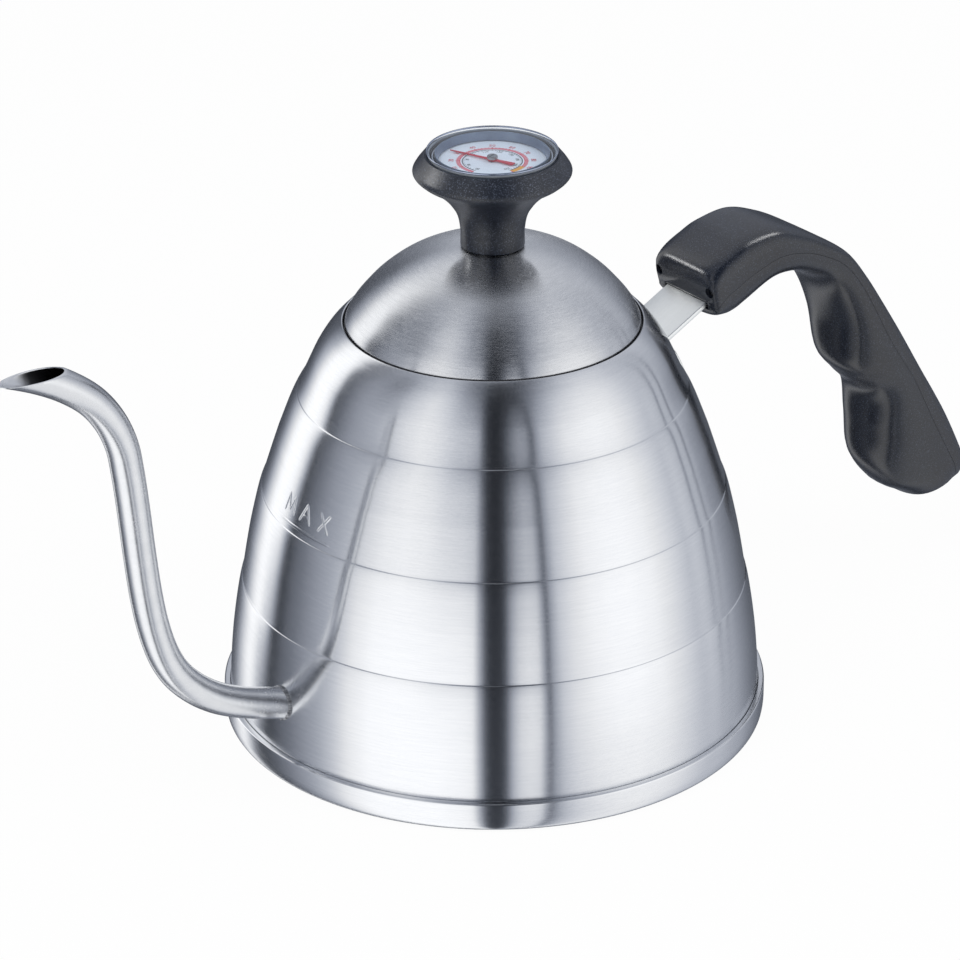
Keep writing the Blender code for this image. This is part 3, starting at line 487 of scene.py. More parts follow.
def cutWith(thing, cutter, operation="DIFFERENCE"):
    change = thing.modifiers.new("cut", "BOOLEAN")
    change.operation = operation
    change.solver = "MANIFOLD"
    change.object = cutter
    result = plainMesh(thing)
    thing.modifiers.remove(change)
    thing.data = result
    bpy.data.objects.remove(cutter)


def rod(radius, length, centre, along):
    bm = bmesh.new()
    place = Matrix.Translation(centre) @ Vector(along).to_track_quat("Z", "Y").to_matrix().to_4x4()
    bmesh.ops.create_cone(
        bm, cap_ends=True, segments=32, radius1=radius, radius2=radius, depth=length, matrix=place)
    return bm


# Camera

viewpoint = {
    "distance": 1.2011,  # metres
    "height": 0.6524,
    "down": 25.784,  # degrees
    "yaw": -0.188,
    "roll": -0.3,
    "round": -37.5,
    "lens": 171.83,  # millimetres
    "sensor": 36.0,
    "clip": (0.05, 40.0),
}


def setCamera():
    pitch, yaw, roll = (math.radians(viewpoint[key]) for key in ("down", "yaw", "roll"))
    ahead = Vector((math.sin(yaw) * math.cos(pitch), math.cos(yaw) * math.cos(pitch), -math.sin(pitch)))
    right = Vector((math.cos(yaw), -math.sin(yaw), 0.0))
    up = right.cross(ahead)
    side = right * math.cos(roll) + up * math.sin(roll)
    top = up * math.cos(roll) - right * math.sin(roll)
    turn = Matrix.Rotation(math.radians(viewpoint["round"]), 3, "Z")
    place = turn @ Vector((0.0, -viewpoint["distance"], viewpoint["height"]))
    axes = [turn @ side, turn @ top, turn @ -ahead]
    lens = bpy.data.cameras.new("camera")
    lens.lens = viewpoint["lens"]
    lens.sensor_width = viewpoint["sensor"]
    lens.clip_start, lens.clip_end = viewpoint["clip"]
    eye = addObject("camera", lens)
    eye.matrix_world = Matrix([[a[row] for a in axes] + [place[row]] for row in range(3)] + [[0, 0, 0, 1]])
    bpy.context.scene.camera = eye


setCamera()
print("camera set")


# Body: four tiers, each a slightly bellied cone, with a crease at each tier's top

body = {
    "foot": (78.1, 10.0),
    "sink": 6.9,  # height of the wall's lower end, inside the base band
    "tops": ((74.0, 43.7), (67.7, 72.7), (56.6, 102.3), (43.6, 123.3)),
    "belly": (0.6, 0.35, 0.15, 1.1),
    "skew": 0.9,
    "shoulder": (0.20, 0.22, 0.55, 0.45),  # how far each tier's top rounds in
    "shoulderRun": (6.0, 6.0, 8.5, 6.0),
    "ledge": 0.24,
    "steps": (40, 36, 36, 36),
    "crease": 0.3,
    "sheet": 0.8,
    "lip": 43.05,
    "lipTop": 124.1,
    "roll": 1.3,  # how far the lip's roll reaches
    "seat": 121.4,
    # painted shade: faces on the lip's inner side take a near-grey finish for the shadow in the gap under the
    # lid
    "shade": (120.9, 123.2),  # the lip's inner face, between these heights, is darker
    "neck": 39.9,
    "neckLow": 113.4,
    "sides": 216,
}


def tierEnds(index):
    # (radius, height) of a tier's lower and upper end; every tier but the first starts on a small ledge
    if index == 0:
        return body["foot"], body["tops"][0]
    r, z = body["tops"][index - 1]
    return (r - body["ledge"], z + body["ledge"] * 0.6), body["tops"][index]


def tierRadius(index, share):
    (r0, z0), (r1, z1) = tierEnds(index)
    bow = 4 * share * (1 - share)
    skew = body["skew"] * bow * (2 * share - 1) if index == 3 else 0.0
    near = max(0.0, 1 - (1 - share) * (z1 - z0) / body["shoulderRun"][index])
    shoulder = body["shoulder"][index] * min(1.0, share * 2) * (1 - near ** 3)
    return r0 + (r1 - r0) * share + body["belly"][index] * bow + skew + shoulder


def wallRadius(z):
    # outer radius of the body's wall at a height, both in millimetres
    for index in range(4):
        (_, z0), (_, z1) = tierEnds(index)
        if z <= z1 or index == 3:
            return tierRadius(index, min(1.0, max(0.0, (z - z0) / (z1 - z0))))


def makeBody():
    neck, lip, seat, sheet = body["neck"], body["lip"], body["seat"], body["sheet"]
    corners = [(neck, body["neckLow"], 0.3), (neck, seat, 0.8), (lip, seat, 0.5)]
    corners.append((lip, body["lipTop"], body["roll"]))
    for index in (3, 2, 1, 0):  # down the outside
        (_, z0), (_, z1) = tierEnds(index)
        count = body["steps"][index]
        start = count - 3 if index == 3 else count
        for k in range(start, -1, -1):
            edge = body["crease"] if k in (0, count) else 0.0
            if index == 3 and k == start:
                edge = body["roll"]
            if index == 0 and k == 0:
                edge = 0.0
            corners.append((tierRadius(index, k / count), z0 + (z1 - z0) * k / count, edge))
    corners += [(body["foot"][0], body["sink"], 0.2), (body["foot"][0] - sheet, body["sink"], 0.2)]
    for index in range(4):  # and up the inside
        (_, z0), (_, z1) = tierEnds(index)
        for share in ((0.1, 0.3, 0.5, 0.7, 0.9) if index < 3 else (0.1, 0.3, 0.5, 0.65)):
            corners.append((tierRadius(index, share) - sheet - 0.3 * index, z0 + (z1 - z0) * share, 0.0))
    under = seat - sheet
    corners += [
        (wallRadius(under - 1.5) - 2.1, under - 1.2, 0.3), (wallRadius(under) - 2.6, under, 0.3),
        (neck + sheet, under, 0.3), (neck + sheet, body["neckLow"], 0.2),
    ]
    thing = turned("kettleBody", rounded(corners, 3), body["sides"], "turned")
    low, high = body["shade"]
    # painted shade on the lip's inner faces, for the shadow in the gap under the lid
    return secondFinish(thing, "shade", lambda face, r, z: r < lip + 0.15 and low < z < high)


mark = {
    "turn": -1.9,
    "line": (74.9, 24.6),
    "letters": 77.3,
    "height": 5.4,
    "width": 5.2,
    "pitch": 8.4,
    "stroke": 0.42,
    "rise": 0.15,
    # section of a stroke: shares of its half width and of its rise
    "section": (
        (-1.25, -0.15), (-0.9, 0.35), (-0.45, 0.85), (0.0, 1.0), (0.45, 0.85), (0.9, 0.35), (1.25, -0.15),
        (0.0, -0.6),
    ),
}


def markStrokes():
    # straight strokes of the raised capacity mark, as (along, up) points in millimetres
    low, high = mark["letters"], mark["letters"] + mark["height"]
    half = mark["width"] / 2
    left, right = -mark["pitch"], mark["pitch"]
    bar = low + mark["height"] * 0.33
    yield [(left - half, low), (left - half * 0.7, high), (left, low + 1.0), (left + half * 0.7, high),
           (left + half, low)]
    yield [(-half, low), (0.0, high), (half, low)]
    yield [(-half * 0.6, bar), (half * 0.6, bar)]
    yield [(right - half * 0.8, low), (right + half * 0.8, high)]
    yield [(right - half * 0.8, high), (right + half * 0.8, low)]
    z, wide = mark["line"]
    yield [(-wide / 2, z), (wide / 2, z)]


def makeMark():
    bm = bmesh.new()
    turn = math.pi + math.radians(mark["turn"])
    middle = wallRadius(mark["letters"])
    for stroke in markStrokes():
        for a, b in zip(stroke, stroke[1:]):
            a, b = Vector(a), Vector(b)
            along = (b - a).normalized()
            across = Vector((-along.y, along.x))
            count = max(2, round((b - a).length / 0.8))
            rings = []
            for k in range(count + 1):
                point = a.lerp(b, k / count)
                atEnd = k in (0, count)
                width = mark["stroke"] * (0.55 if atEnd else 1.0)
                rise = mark["rise"] * (0.45 if atEnd else 1.0)
                ring = []
                for side, lift in mark["section"]:
                    spot = point + across * side * width
                    reach = (wallRadius(spot.y) + lift * rise) * mm
                    ring.append(polar(reach, turn + spot.x / middle, spot.y * mm))
                rings.append(ring)
            skin(bm, rings)
    return finishMesh(bm, "capacityMark", "turned", 60)


base = {
    "radius": 80.0,
    "band": 9.2,
    "sheet": 1.8,
    "corner": 2.0,
}


def makeBase():
    r, top, sheet = base["radius"], base["band"], base["sheet"]
    corners = [
        (0.0, 0.8, 0.0), (0.0, 0.0, 0.0), (r - 9.0, 0.0, 0.5), (r - base["corner"], 0.0, 1.2),
        (r - 0.35, base["corner"] * 0.55, 1.0), (r, base["corner"] * 1.7, 1.0), (r, top, 0.55),
        (r - sheet, top, 0.3), (r - sheet, 0.8, 0.4),
    ]
    return turned("baseBand", rounded(corners, 5), body["sides"], "turned")


dress(makeBody(), "root", "steel", "body_shell")
dress(makeMark(), "root", "steel")
dress(makeBase(), "root", "steel", "base_cap")
print("body, mark and base made")


# Spout: one bent tube of constant bore with a slanted mouth and a weld bead at its root

spout = {
    "radius": 4.6,
    "wall": 0.6,
    "route": (
        (73.5, 22.9), (80.0, 25.2), (86.5, 27.4), (93.3, 30.2), (100.0, 33.8), (106.5, 38.8), (112.3, 45.2),
        (116.4, 52.8), (119.4, 62.6), (121.4, 73.6), (123.0, 87.2), (124.4, 101.5), (125.7, 112.4),
        (127.2, 120.6), (130.6, 128.7), (136.0, 136.1), (143.4, 142.3), (151.8, 147.4), (161.2, 151.8),
        (172.0, 156.2),
    ),
    "back": (145.2, 148.1),  # the mouth's plane, from its back to its tip
    "tip": (164.8, 148.6),
    "sides": 64,
    "steps": 150,
    "rings": 140,
    "even": 0.62,  # share of the rings that keep an even distance
    # share of the wall, and how far the mouth's edge is drawn in there
    "layers": ((0.0, 0.22), (0.3, 0.0), (0.7, 0.0), (1.0, 0.22)),
    "bead": 0.5,
    "beadSteps": 160,
    "beadSides": 10,
    "beadSeed": 7,
    "ripples": 42,
    "rippleRange": (0.75, 1.15),
}


def heading(route, index):
    a, b = route[max(0, index - 1)], route[min(len(route) - 1, index + 1)]
    return Vector((b[0] - a[0], b[1] - a[1])).normalized()


def tubeLine(route, angle, radius):
    # one line along the tube's wall: (reach, height, sideways) in millimetres
    line = []
    for index, point in enumerate(route):
        along = heading(route, index)
        across = Vector((-along.y, along.x))
        flat = Vector(point[:2]) + across * (radius * math.cos(angle))
        line.append(Vector((flat.x, flat.y, radius * math.sin(angle))))
    return line


def trimmed(line, cut, count):
    # the line up to the mouth's plane, its last points spread so that it ends on the plane
    origin, normal = cut
    depth = [(Vector(p[:2]) - origin).dot(normal) for p in line]
    end = next(k for k, value in enumerate(depth) if value > 0)
    share = depth[end - 1] / (depth[end - 1] - depth[end])
    last = end - 1 + share
    keep = count * spout["even"]
    out = []
    for k in range(count + 1):
        place = k if k <= keep else keep + (last - keep) * (k - keep) / (count - keep)
        low = min(int(place), len(line) - 2)
        out.append(line[low].lerp(line[low + 1], place - low))
    return out


def makeSpout():
    route = curve(spout["route"], spout["steps"])
    back, tip = Vector(spout["back"]), Vector(spout["tip"])
    slant = (tip - back).normalized()
    normal = Vector((-slant.y, slant.x))
    sides, count = spout["sides"], spout["rings"]
    turns = [math.tau * k / sides for k in range(sides)]
    layers = []
    for depth, drop in spout["layers"]:
        radius = spout["radius"] - spout["wall"] * depth
        cut = (back - normal * drop, normal)
        layers.append([trimmed(tubeLine(route, turn, radius), cut, count) for turn in turns])
    rings = [[line[k] for line in layers[0]] for k in range(count + 1)]
    rings += [[line[-1] for line in layer] for layer in layers[1:3]]
    rings += [[line[k] for line in layers[3]] for k in range(count, -1, -1)]
    solid = [[(-p.x * mm, p.z * mm, p.y * mm) for p in ring] for ring in rings]
    thing = finishMesh(skin(bmesh.new(), solid, closed=True), "spoutTube", "spout", 40)
    inner = (count + 3) * sides
    # the inner faces take the painted bore shade
    return secondFinish(thing, "bore", lambda face, r, z: face.index >= inner)


def makeBead():
    # a rippled ring where the tube meets the body's wall
    route = curve(spout["route"], spout["steps"])
    along = heading(route, 1)
    across = Vector((-along.y, along.x))
    rings = []
    count, sides = spout["beadSteps"], spout["beadSides"]
    turns = [math.tau * j / sides for j in range(sides)]
    dice = random.Random(spout["beadSeed"])
    wobble = [dice.uniform(*spout["rippleRange"]) for _ in range(spout["ripples"])]
    for k in range(count):
        angle = math.tau * k / count
        side = spout["radius"] * math.sin(angle)
        start = route[0] + across * (spout["radius"] * math.cos(angle))
        reach = 0.0
        while math.hypot(start.x + along.x * reach, side) < wallRadius(start.y + along.y * reach) + 0.25:
            reach += 0.05
        phase = k / count * spout["ripples"]
        swell = wobble[int(phase) % spout["ripples"]]
        size = spout["bead"] * (0.3 + 0.7 * swell * abs(math.sin(math.pi * phase)) ** 0.6)
        middle = Vector((-(start.x + along.x * reach), side, start.y + along.y * reach))
        out = Vector((-across.x * math.cos(angle), math.sin(angle), across.y * math.cos(angle)))
        forward = Vector((-along.x, 0.0, along.y))
        longer = forward * 1.25
        rings.append([(middle + (out * math.cos(b) + longer * math.sin(b)) * size) * mm for b in turns])
    return finishMesh(skin(bmesh.new(), rings, closed=True), "spoutWeld", "bead", 60)


dress(makeSpout(), "root", "steel", "spout_tube")
dress(makeBead(), "root", "steel")
print("spout made")


# Handle: steel strap, then the two moulded shells of the grip

strap = {
    "width": 18.0,
    "thick": 1.5,
    "root": 103.6,
    "corner": 0.35,
    "off": 0.3,  # from the body's wall
    "footArc": 15.0,
    "footSteps": (28, 12),
    "footEdge": (0.25, 0.35),  # how far its outer edges are drawn in, and down to the wall
    "foot": (93.3, 105.3),
    "slot": (1.6, 1.5, 0.3),  # how much wider and thicker the grip's slot is, and its corner
}
grip = {
    "front": (70.4, 103.6),
    # outer point, inner point, half width and the outer shell's share of the depth, from the front face
    "stations": (
        (0.0, 15.5, 2.4, 5.8, 13.0, 0.80), (0.6, 18.4, 3.8, 3.6, 14.0, 0.70),
        (4.1, 21.1, 6.6, 2.2, 14.4, 0.55), (9.9, 23.8, 10.6, 1.8, 14.4, 0.49),
        (15.8, 25.8, 15.2, 3.6, 14.4, 0.47), (26.7, 26.6, 25.0, 8.4, 14.4, 0.46),
        (36.9, 23.1, 33.1, 9.2, 14.4, 0.42), (45.5, 18.4, 39.8, 7.4, 14.4, 0.38),
        (54.9, 12.0, 46.7, 3.7, 14.3, 0.36), (62.6, 2.5, 52.5, -3.2, 14.2, 0.34),
        (69.5, -7.5, 57.0, -14.8, 14.2, 0.32), (76.4, -17.9, 59.2, -28.2, 14.2, 0.28),
        (81.6, -26.4, 64.5, -35.0, 14.2, 0.28), (86.4, -34.5, 71.0, -42.6, 14.3, 0.28),
        (91.8, -42.9, 72.0, -54.6, 14.4, 0.25), (97.4, -52.2, 73.1, -66.6, 14.6, 0.23),
        (103.0, -63.2, 79.9, -76.0, 14.6, 0.23), (105.8, -70.0, 85.9, -79.9, 14.4, 0.24),
        (105.5, -75.2, 90.4, -82.5, 12.7, 0.25), (102.1, -78.7, 94.4, -82.8, 7.8, 0.25),
    ),
    "squareOut": 5.0,
    "squareIn": 2.5,
    "sides": 22,
    "steps": 130,
    "seam": 0.05,
    "strapEnd": 5,
    "side": 0.25,  # how far the edges along the parting line are drawn in
    "grubHole": (0.3, 8.0),  # added to the grub screws' radius and length
    # radius, place and length of the end screw's shank hole and of the recess for its head
    "shankHole": (1.6, 10.6, 14.6),
    "headHole": (2.7, -2.2, 15.8),
}


def gripFrames():
    x0, z0 = grip["front"]
    return [(a + x0, b + z0, c + x0, d + z0, half, share) for a, b, c, d, half, share in grip["stations"]]


def gripPoints(row):
    top, low = Vector(row[0:2]), Vector(row[2:4])
    return top, low, top.lerp(low, row[5])


def strapRoute():
    start = (wallRadius(strap["root"]) + strap["off"] + strap["thick"] / 2, strap["root"])
    return curve([start] + [tuple(gripPoints(row)[2]) for row in gripFrames()[: grip["strapEnd"] + 1]], 60)


def stripRings(route, width, thick, corner):
    # rings of a flat strip with softened edges, along a route of (x, z)
    rings = []
    half, up = width / 2, thick / 2
    section = []
    for quarter, (sy, su) in enumerate(((1, 1), (-1, 1), (-1, -1), (1, -1))):
        for j in range(4):
            edge = polar(corner, (quarter + j / 3) * math.pi / 2, 0.0)
            section.append((sy * (half - corner) + edge.x, su * (up - corner) + edge.y))
    for index, (x, z) in enumerate(route):
        along = heading(route, index)
        rings.append([((x - along.y * u) * mm, y * mm, (z + along.x * u) * mm) for y, u in section])
    return rings


def makeStrap():
    rings = stripRings(strapRoute(), strap["width"], strap["thick"], strap["corner"])
    strip = finishMesh(skin(bmesh.new(), rings), "handleStrap", "strap")
    rings = []
    half = math.radians(strap["footArc"])
    low, high = strap["foot"]
    turns, rows = strap["footSteps"]
    drawn, dropped = strap["footEdge"]
    for k in range(turns + 1):
        angle = -half + 2 * half * k / turns
        edge = drawn if k in (0, turns) else 0.0
        outside, inside = [], []
        for j in range(rows + 1):
            z = low + edge + (high - low - 2 * edge) * j / rows
            wall = wallRadius(z) + strap["off"]
            softened = dropped if j in (0, rows) or k in (0, turns) else 0.0
            outside.append(polar((wall + strap["thick"] - softened) * mm, angle, z * mm))
            inside.append(polar(wall * mm, angle, z * mm))
        rings.append(outside + inside[::-1])
    cutWith(strip, finishMesh(skin(bmesh.new(), rings), "strapFoot", "strap"), "UNION")
    smoothAgain(strip, 50)
    return strip


def gripSection(row, outer):
    # half of the grip's outline at one station, from one side over the top or bottom to the other
    top, low, parting = gripPoints(row)
    half = row[4]
    reach = (top - low).normalized() * (1 if outer else -1)
    depth = (top - parting).length if outer else (low - parting).length
    power = 2 / (grip["squareOut"] if outer else grip["squareIn"])
    ring = []
    count = grip["sides"]
    for k in range(count + 1):
        angle = math.pi * k / count
        flat = math.copysign(abs(math.cos(angle)) ** power, math.cos(angle)) * half
        rise = abs(math.sin(angle)) ** power * depth if 0 < k < count else 0.0
        point = parting + reach * max(rise, grip["seam"])
        if k in (0, count):
            flat *= 1 - grip["side"] / half
        ring.append((point.x * mm, flat * mm, point.y * mm))
    return ring


def gripShell(name, outer):
    rings = [gripSection(row, outer) for row in curve(gripFrames(), grip["steps"])]
    return finishMesh(skin(bmesh.new(), rings), name, "grip")


def makeGrip():
    shells = [gripShell("gripOuter", True), gripShell("gripInner", False)]
    route = strapRoute()
    wider, thicker, corner = strap["slot"]
    space, longer = (value * mm for value in grip["grubHole"])
    slotRoute = [Vector(route[0]) + (Vector(route[0]) - Vector(route[3])) * 0.2] + route[1:]
    finish, start, _ = gripPoints(gripFrames()[-3])
    along = (finish - start).normalized()
    for shell in shells:
        slot = stripRings(slotRoute, strap["width"] + wider, strap["thick"] + thicker, corner)
        cutWith(shell, finishMesh(skin(bmesh.new(), slot), "slotCut", "grip"))
        for node in ("grip_grub_screw_near", "grip_grub_screw_far"):
            low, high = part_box(node)
            centre = (low + high) / 2 - Vector((longer / 2, 0, 0))
            hole = rod((high.z - low.z) / 2 + space, high.x - low.x + longer, centre, (1, 0, 0))
            cutWith(shell, finishMesh(hole, "boreCut", "grip"))
        for radius, reach, length in (grip["shankHole"], grip["headHole"])[: 1 if shell is shells[0] else 2]:
            centre = start + along * reach
            hole = rod(radius * mm, length * mm, Vector((centre.x, 0, centre.y)) * mm, (along.x, 0, along.y))
            cutWith(shell, finishMesh(hole, "boreCut", "grip"))
        smoothAgain(shell, 40)
    return shells


dress(makeStrap(), "root", "strap", "handle_strap")
outerShell, innerShell = makeGrip()
dress(outerShell, "root", "plastic", "grip_outer_shell")
dress(innerShell, "root", "plastic", "grip_inner_shell")
print("handle made")


# Lid: domed cover, skirt that drops into the neck, and the knob that holds the thermometer

lid = {
    "rim": 42.5,
    "low": 121.7,
    "hem": 124.0,
    "dome": (
        (40.7, 127.2), (38.1, 130.6), (34.2, 134.9), (29.0, 139.2), (24.0, 142.2), (18.0, 144.7),
        (12.0, 146.1), (4.1, 146.5),
    ),
    "sheet": 0.8,
    "skirt": 39.4,
    "skirtLow": 109.0,
}
knob = {
    "side": (
        (9.1, 151.0), (9.6, 154.5), (10.4, 157.0), (11.6, 159.0), (13.1, 161.0), (15.1, 163.0), (17.6, 165.0),
        (20.8, 167.0), (22.6, 169.0), (21.8, 171.0), (20.3, 173.0), (19.3, 174.2),
    ),
    "foot": (9.2, 146.8),
    "bore": 4.1,
    "recess": (17.5, 169.3),
    "land": (18.3, 173.8),
}


def makeLid():
    rim, low, hem, sheet = lid["rim"], lid["low"], lid["hem"], lid["sheet"]
    outside = curve([(rim - 0.15, hem)] + list(lid["dome"]), 60)
    corners = [(rim - sheet, low, 0.2), (rim, low, 0.25), (rim, hem - 0.5, 0.3)]
    corners += [(r, z, 0.0) for r, z in outside]
    corners.append((lid["dome"][-1][0], outside[-1][1] - sheet, 0.1))
    # the inside lies lower near the middle and further in near the rim
    corners += [(r * (1 - sheet / 48), z - sheet * (1 - r / 96), 0.0) for r, z in outside[-2:2:-1]]
    corners.append((rim - sheet, hem - 0.2, 0.2))
    thing = turned("lidDome", rounded(corners, 3), body["sides"], "lid")
    # painted shade on the hem's outer face, for the shadow in the gap between lid and body
    return secondFinish(thing, "shade", lambda face, r, z: r > rim - 0.1 and z < hem - 0.5)


def makeSkirt():
    low, sheet = lid["low"], lid["sheet"]
    outer, end, flange = lid["skirt"], lid["skirtLow"], lid["rim"] - sheet - 0.3
    corners = [
        (outer - sheet, low + sheet, 0.5), (outer - sheet, end, 0.2), (outer, end, 0.3), (outer, low, 0.4),
        (flange, low, 0.2), (flange, low + sheet, 0.2),
    ]
    return turned("lidSkirt", rounded(corners, 3), 144, "turned")


def makeKnob():
    (foot, footZ), (land, landZ), (recess, recessZ) = knob["foot"], knob["land"], knob["recess"]
    bore = knob["bore"]
    corners = [(bore, footZ, 0.1), (foot, footZ, 0.4)]
    corners += [(r, z, 0.0) for r, z in curve(knob["side"], 70)]
    corners += [(land, landZ, 0.1), (recess, landZ, 0.1), (recess, recessZ, 0.1), (bore, recessZ, 0.1)]
    return turned("lidKnob", rounded(corners, 3), 144, "knob")


dress(makeLid(), "lid", "steel", "lid_dome")
dress(makeSkirt(), "lid", "steel", "lid_skirt")
knobPiece = dress(makeKnob(), "lid", "plastic", "lid_knob")
print("lid and knob made")


# Thermometer: case, dial with its scales, spacer ring, crystal and needle

dial = {
    "radius": 16.3,
    "bore": 0.8,
    "top": 171.9,
    "thick": 0.5,
    "up": 52.5,  # degrees round the axis to the middle of the scale
    "half": 145.0,  # degrees from there to each end of the scale
    "print": 0.03,  # thickness of the print
    "printLow": 0.02,  # how deep its bands go below their face
    "letters": (0.012, 0.05, 0.9),  # half thickness, rise and narrowing of the numbers
    # name, radii, rise, from and to in degrees from the middle of the scale, steps, finish
    "bands": (
        ("scaleBand", 9.3, 10.15, 0.0, -145, 145, 96, "pink"),
        ("scaleEdge", 9.05, 9.3, 0.0, -145, 145, 96, "red"),
        ("innerScaleRing", 8.35, 8.62, 0.0, -145, 145, 96, "black"),
        ("boilingZone", 8.7, 10.2, 0.02, -145, -116, 16, "orange"),
    ),
    # name, count, reach, length, width, rise, finish
    "ticks": (
        ("scaleTicks", 51, 9.95, 0.7, 0.16, 0.0, "red"), ("scaleMainTicks", 11, 9.75, 1.3, 0.3, 0.01, "red"),
        ("innerTicks", 41, 8.1, 0.5, 0.12, 0.0, "black"),
    ),
    # name, numbers, reach, size, finish
    "numbers": (
        ("scaleNumbers", range(0, 101, 10), 11.6, 2.1, "red"),
        ("innerNumbers", range(30, 211, 20), 7.1, 1.35, "black"),
    ),
}
caseRing = {
    "wall": 17.2,
    "sheet": 0.5,
    "floor": 169.6,
    "rim": 173.6,
    "sleeve": 3.8,
    "sleeveBore": 2.8,
    "sleeveLow": 137.5,
}
cover = {
    "spacer": (15.2, 16.0, 16.3),  # inner radius at its lower and upper end, then the outer radius
    "spacerEnds": (172.2, 174.6),
    "bevel": (1.0, 0.45),  # across and down, on the crystal's upper edge
    "gasketBore": 17.8,
}


def makeCase():
    wall, floor, rim = caseRing["wall"], caseRing["floor"], caseRing["rim"]
    sleeve, bore, low = caseRing["sleeve"], caseRing["sleeveBore"], caseRing["sleeveLow"]
    inside, level = wall - caseRing["sheet"], floor + caseRing["sheet"]
    corners = [
        (inside, rim, 0.1), (inside, level, 0.3), (bore, level, 0.1), (bore, low, 0.1), (sleeve, low, 0.3),
        (sleeve, floor, 0.2), (wall, floor, 0.3), (wall, rim, 0.1),
    ]
    return turned("thermometerCase", rounded(corners, 3), 96, "inner")


def makeBand(name, inner, outer, rise, start, end, steps, material):
    z = dial["top"] + dial["print"] + rise
    low = z - dial["printLow"]
    section = ((inner, z), (outer, z), (outer, low), (inner, low))
    rings = []
    for k in range(steps + 1):
        angle = math.radians(dial["up"] + start + (end - start) * k / steps)
        rings.append([polar(r * mm, angle, h * mm) for r, h in section])
    return finishMesh(skin(bmesh.new(), rings), name, material)


def tickTree(name, inputs):
    # Geometry Nodes: short bars evenly round an arc, each turned to point at the middle
    tree = bpy.data.node_groups.new(name, "GeometryNodeTree")
    tree.interface.new_socket("Geometry", in_out="OUTPUT", socket_type="NodeSocketGeometry")
    sockets = {}
    for key, kind in inputs.items():
        socket = tree.interface.new_socket(key, in_out="INPUT", socket_type="NodeSocket" + kind)
        sockets[key] = socket.identifier

    def add(kind, plugs=None, operation=None):
        made = tree.nodes.new(kind)
        if operation:
            made.operation = operation
        for key, value in (plugs or {}).items():
            if isinstance(value, float):
                made.inputs[key].default_value = value
            else:
                tree.links.new(value, made.inputs[key])
        return made.outputs[0] if made.outputs else None

    def reckon(operation, *terms):
        return add("ShaderNodeMath", dict(enumerate(terms)), operation)

    given = tree.nodes.new("NodeGroupInput").outputs
    share = reckon("DIVIDE", add("GeometryNodeInputIndex"), reckon("SUBTRACT", given["Count"], 1.0))
    spread = reckon("MULTIPLY_ADD", share, given["Sweep"], given["Start"])
    x, y = (reckon("MULTIPLY", reckon(wave, spread), given["Reach"]) for wave in ("COSINE", "SINE"))
    spot = add("ShaderNodeCombineXYZ", {0: x, 1: y, 2: given["Height"]})
    points = add("GeometryNodePoints", {"Count": given["Count"]})
    points = add("GeometryNodeSetPosition", {"Geometry": points, "Position": spot})
    size = add("ShaderNodeCombineXYZ", {0: given["Length"], 1: given["Width"], 2: given["Thickness"]})
    bar = add("GeometryNodeMeshCube", {"Size": size})
    turn = add("FunctionNodeEulerToRotation", {0: add("ShaderNodeCombineXYZ", {2: spread})})
    bars = add("GeometryNodeInstanceOnPoints", {"Points": points, "Instance": bar, "Rotation": turn})
    bars = add("GeometryNodeRealizeInstances", {0: bars})
    bars = add("GeometryNodeSetMaterial", {"Geometry": bars, "Material": given["Finish"]})
    add("NodeGroupOutput", {0: bars})
    return tree, sockets


tickLengths = ("Start", "Sweep", "Reach", "Height", "Length", "Width", "Thickness")
tickInputs = {"Count": "Int", **{key: "Float" for key in tickLengths}, "Finish": "Material"}
ticks, tickSockets = tickTree("scaleTicks", tickInputs)


def makeTicks(name, count, reach, length, width, rise, material):
    values = {
        "Count": count, "Finish": finishes[material],
        "Start": math.radians(dial["up"] - dial["half"]), "Sweep": math.radians(2 * dial["half"]),
        "Reach": reach * mm, "Height": (dial["top"] + dial["print"] + rise) * mm,
        "Length": length * mm, "Width": width * mm, "Thickness": dial["print"] * mm,
    }
    holder = addObject(name, bpy.data.meshes.new(name))
    grow = holder.modifiers.new("ticks", "NODES")
    grow.node_group = ticks
    for key, value in values.items():
        grow[tickSockets[key]] = value
    holder.update_tag()
    plain = plainMesh(holder)
    holder.modifiers.remove(grow)
    holder.data = plain
    return holder


def letterMesh(text, size):
    words = bpy.data.curves.new("number", "FONT")
    words.body = text
    words.size = size * mm
    words.align_x = "CENTER"
    words.align_y = "CENTER"
    words.extrude = dial["letters"][0] * mm
    words.resolution_u = 3
    holder = addObject("number", words)
    mesh = plainMesh(holder)
    bpy.data.objects.remove(holder)
    return mesh


def makeNumbers(name, labels, reach, size, material):
    _, rise, narrow = dial["letters"]
    bm = bmesh.new()
    for k, label in enumerate(labels):
        around = math.radians(dial["up"] + dial["half"] - 2 * dial["half"] * k / (len(labels) - 1))
        spot = Matrix.Translation(polar(reach * mm, around, (dial["top"] + rise) * mm))
        turn = Matrix.Rotation(around - math.pi / 2, 4, "Z")
        mesh = letterMesh(str(label), size)
        mesh.transform(spot @ turn @ Matrix.Diagonal((narrow, 1, 1, 1)))
        bm.from_mesh(mesh)
        bpy.data.meshes.remove(mesh)
    return finishMesh(bm, name, material)


def makeDial():
    r, bore, top, low = dial["radius"], dial["bore"], dial["top"], dial["top"] - dial["thick"]
    plate = [(bore, low, 0.0), (r, low, 0.1), (r, top, 0.1), (bore, top, 0.1)]
    return turned("dialPlate", rounded(plate, 3), 96, "dial")


def makeSpacer():
    narrow, wide, outer = cover["spacer"]
    low, top = cover["spacerEnds"]
    corners = [(wide, top, 0.1), (narrow, low, 0.1), (outer, low, 0.1), (outer, top, 0.1)]
    return turned("spacerRing", rounded(corners, 3), 96, "ring")


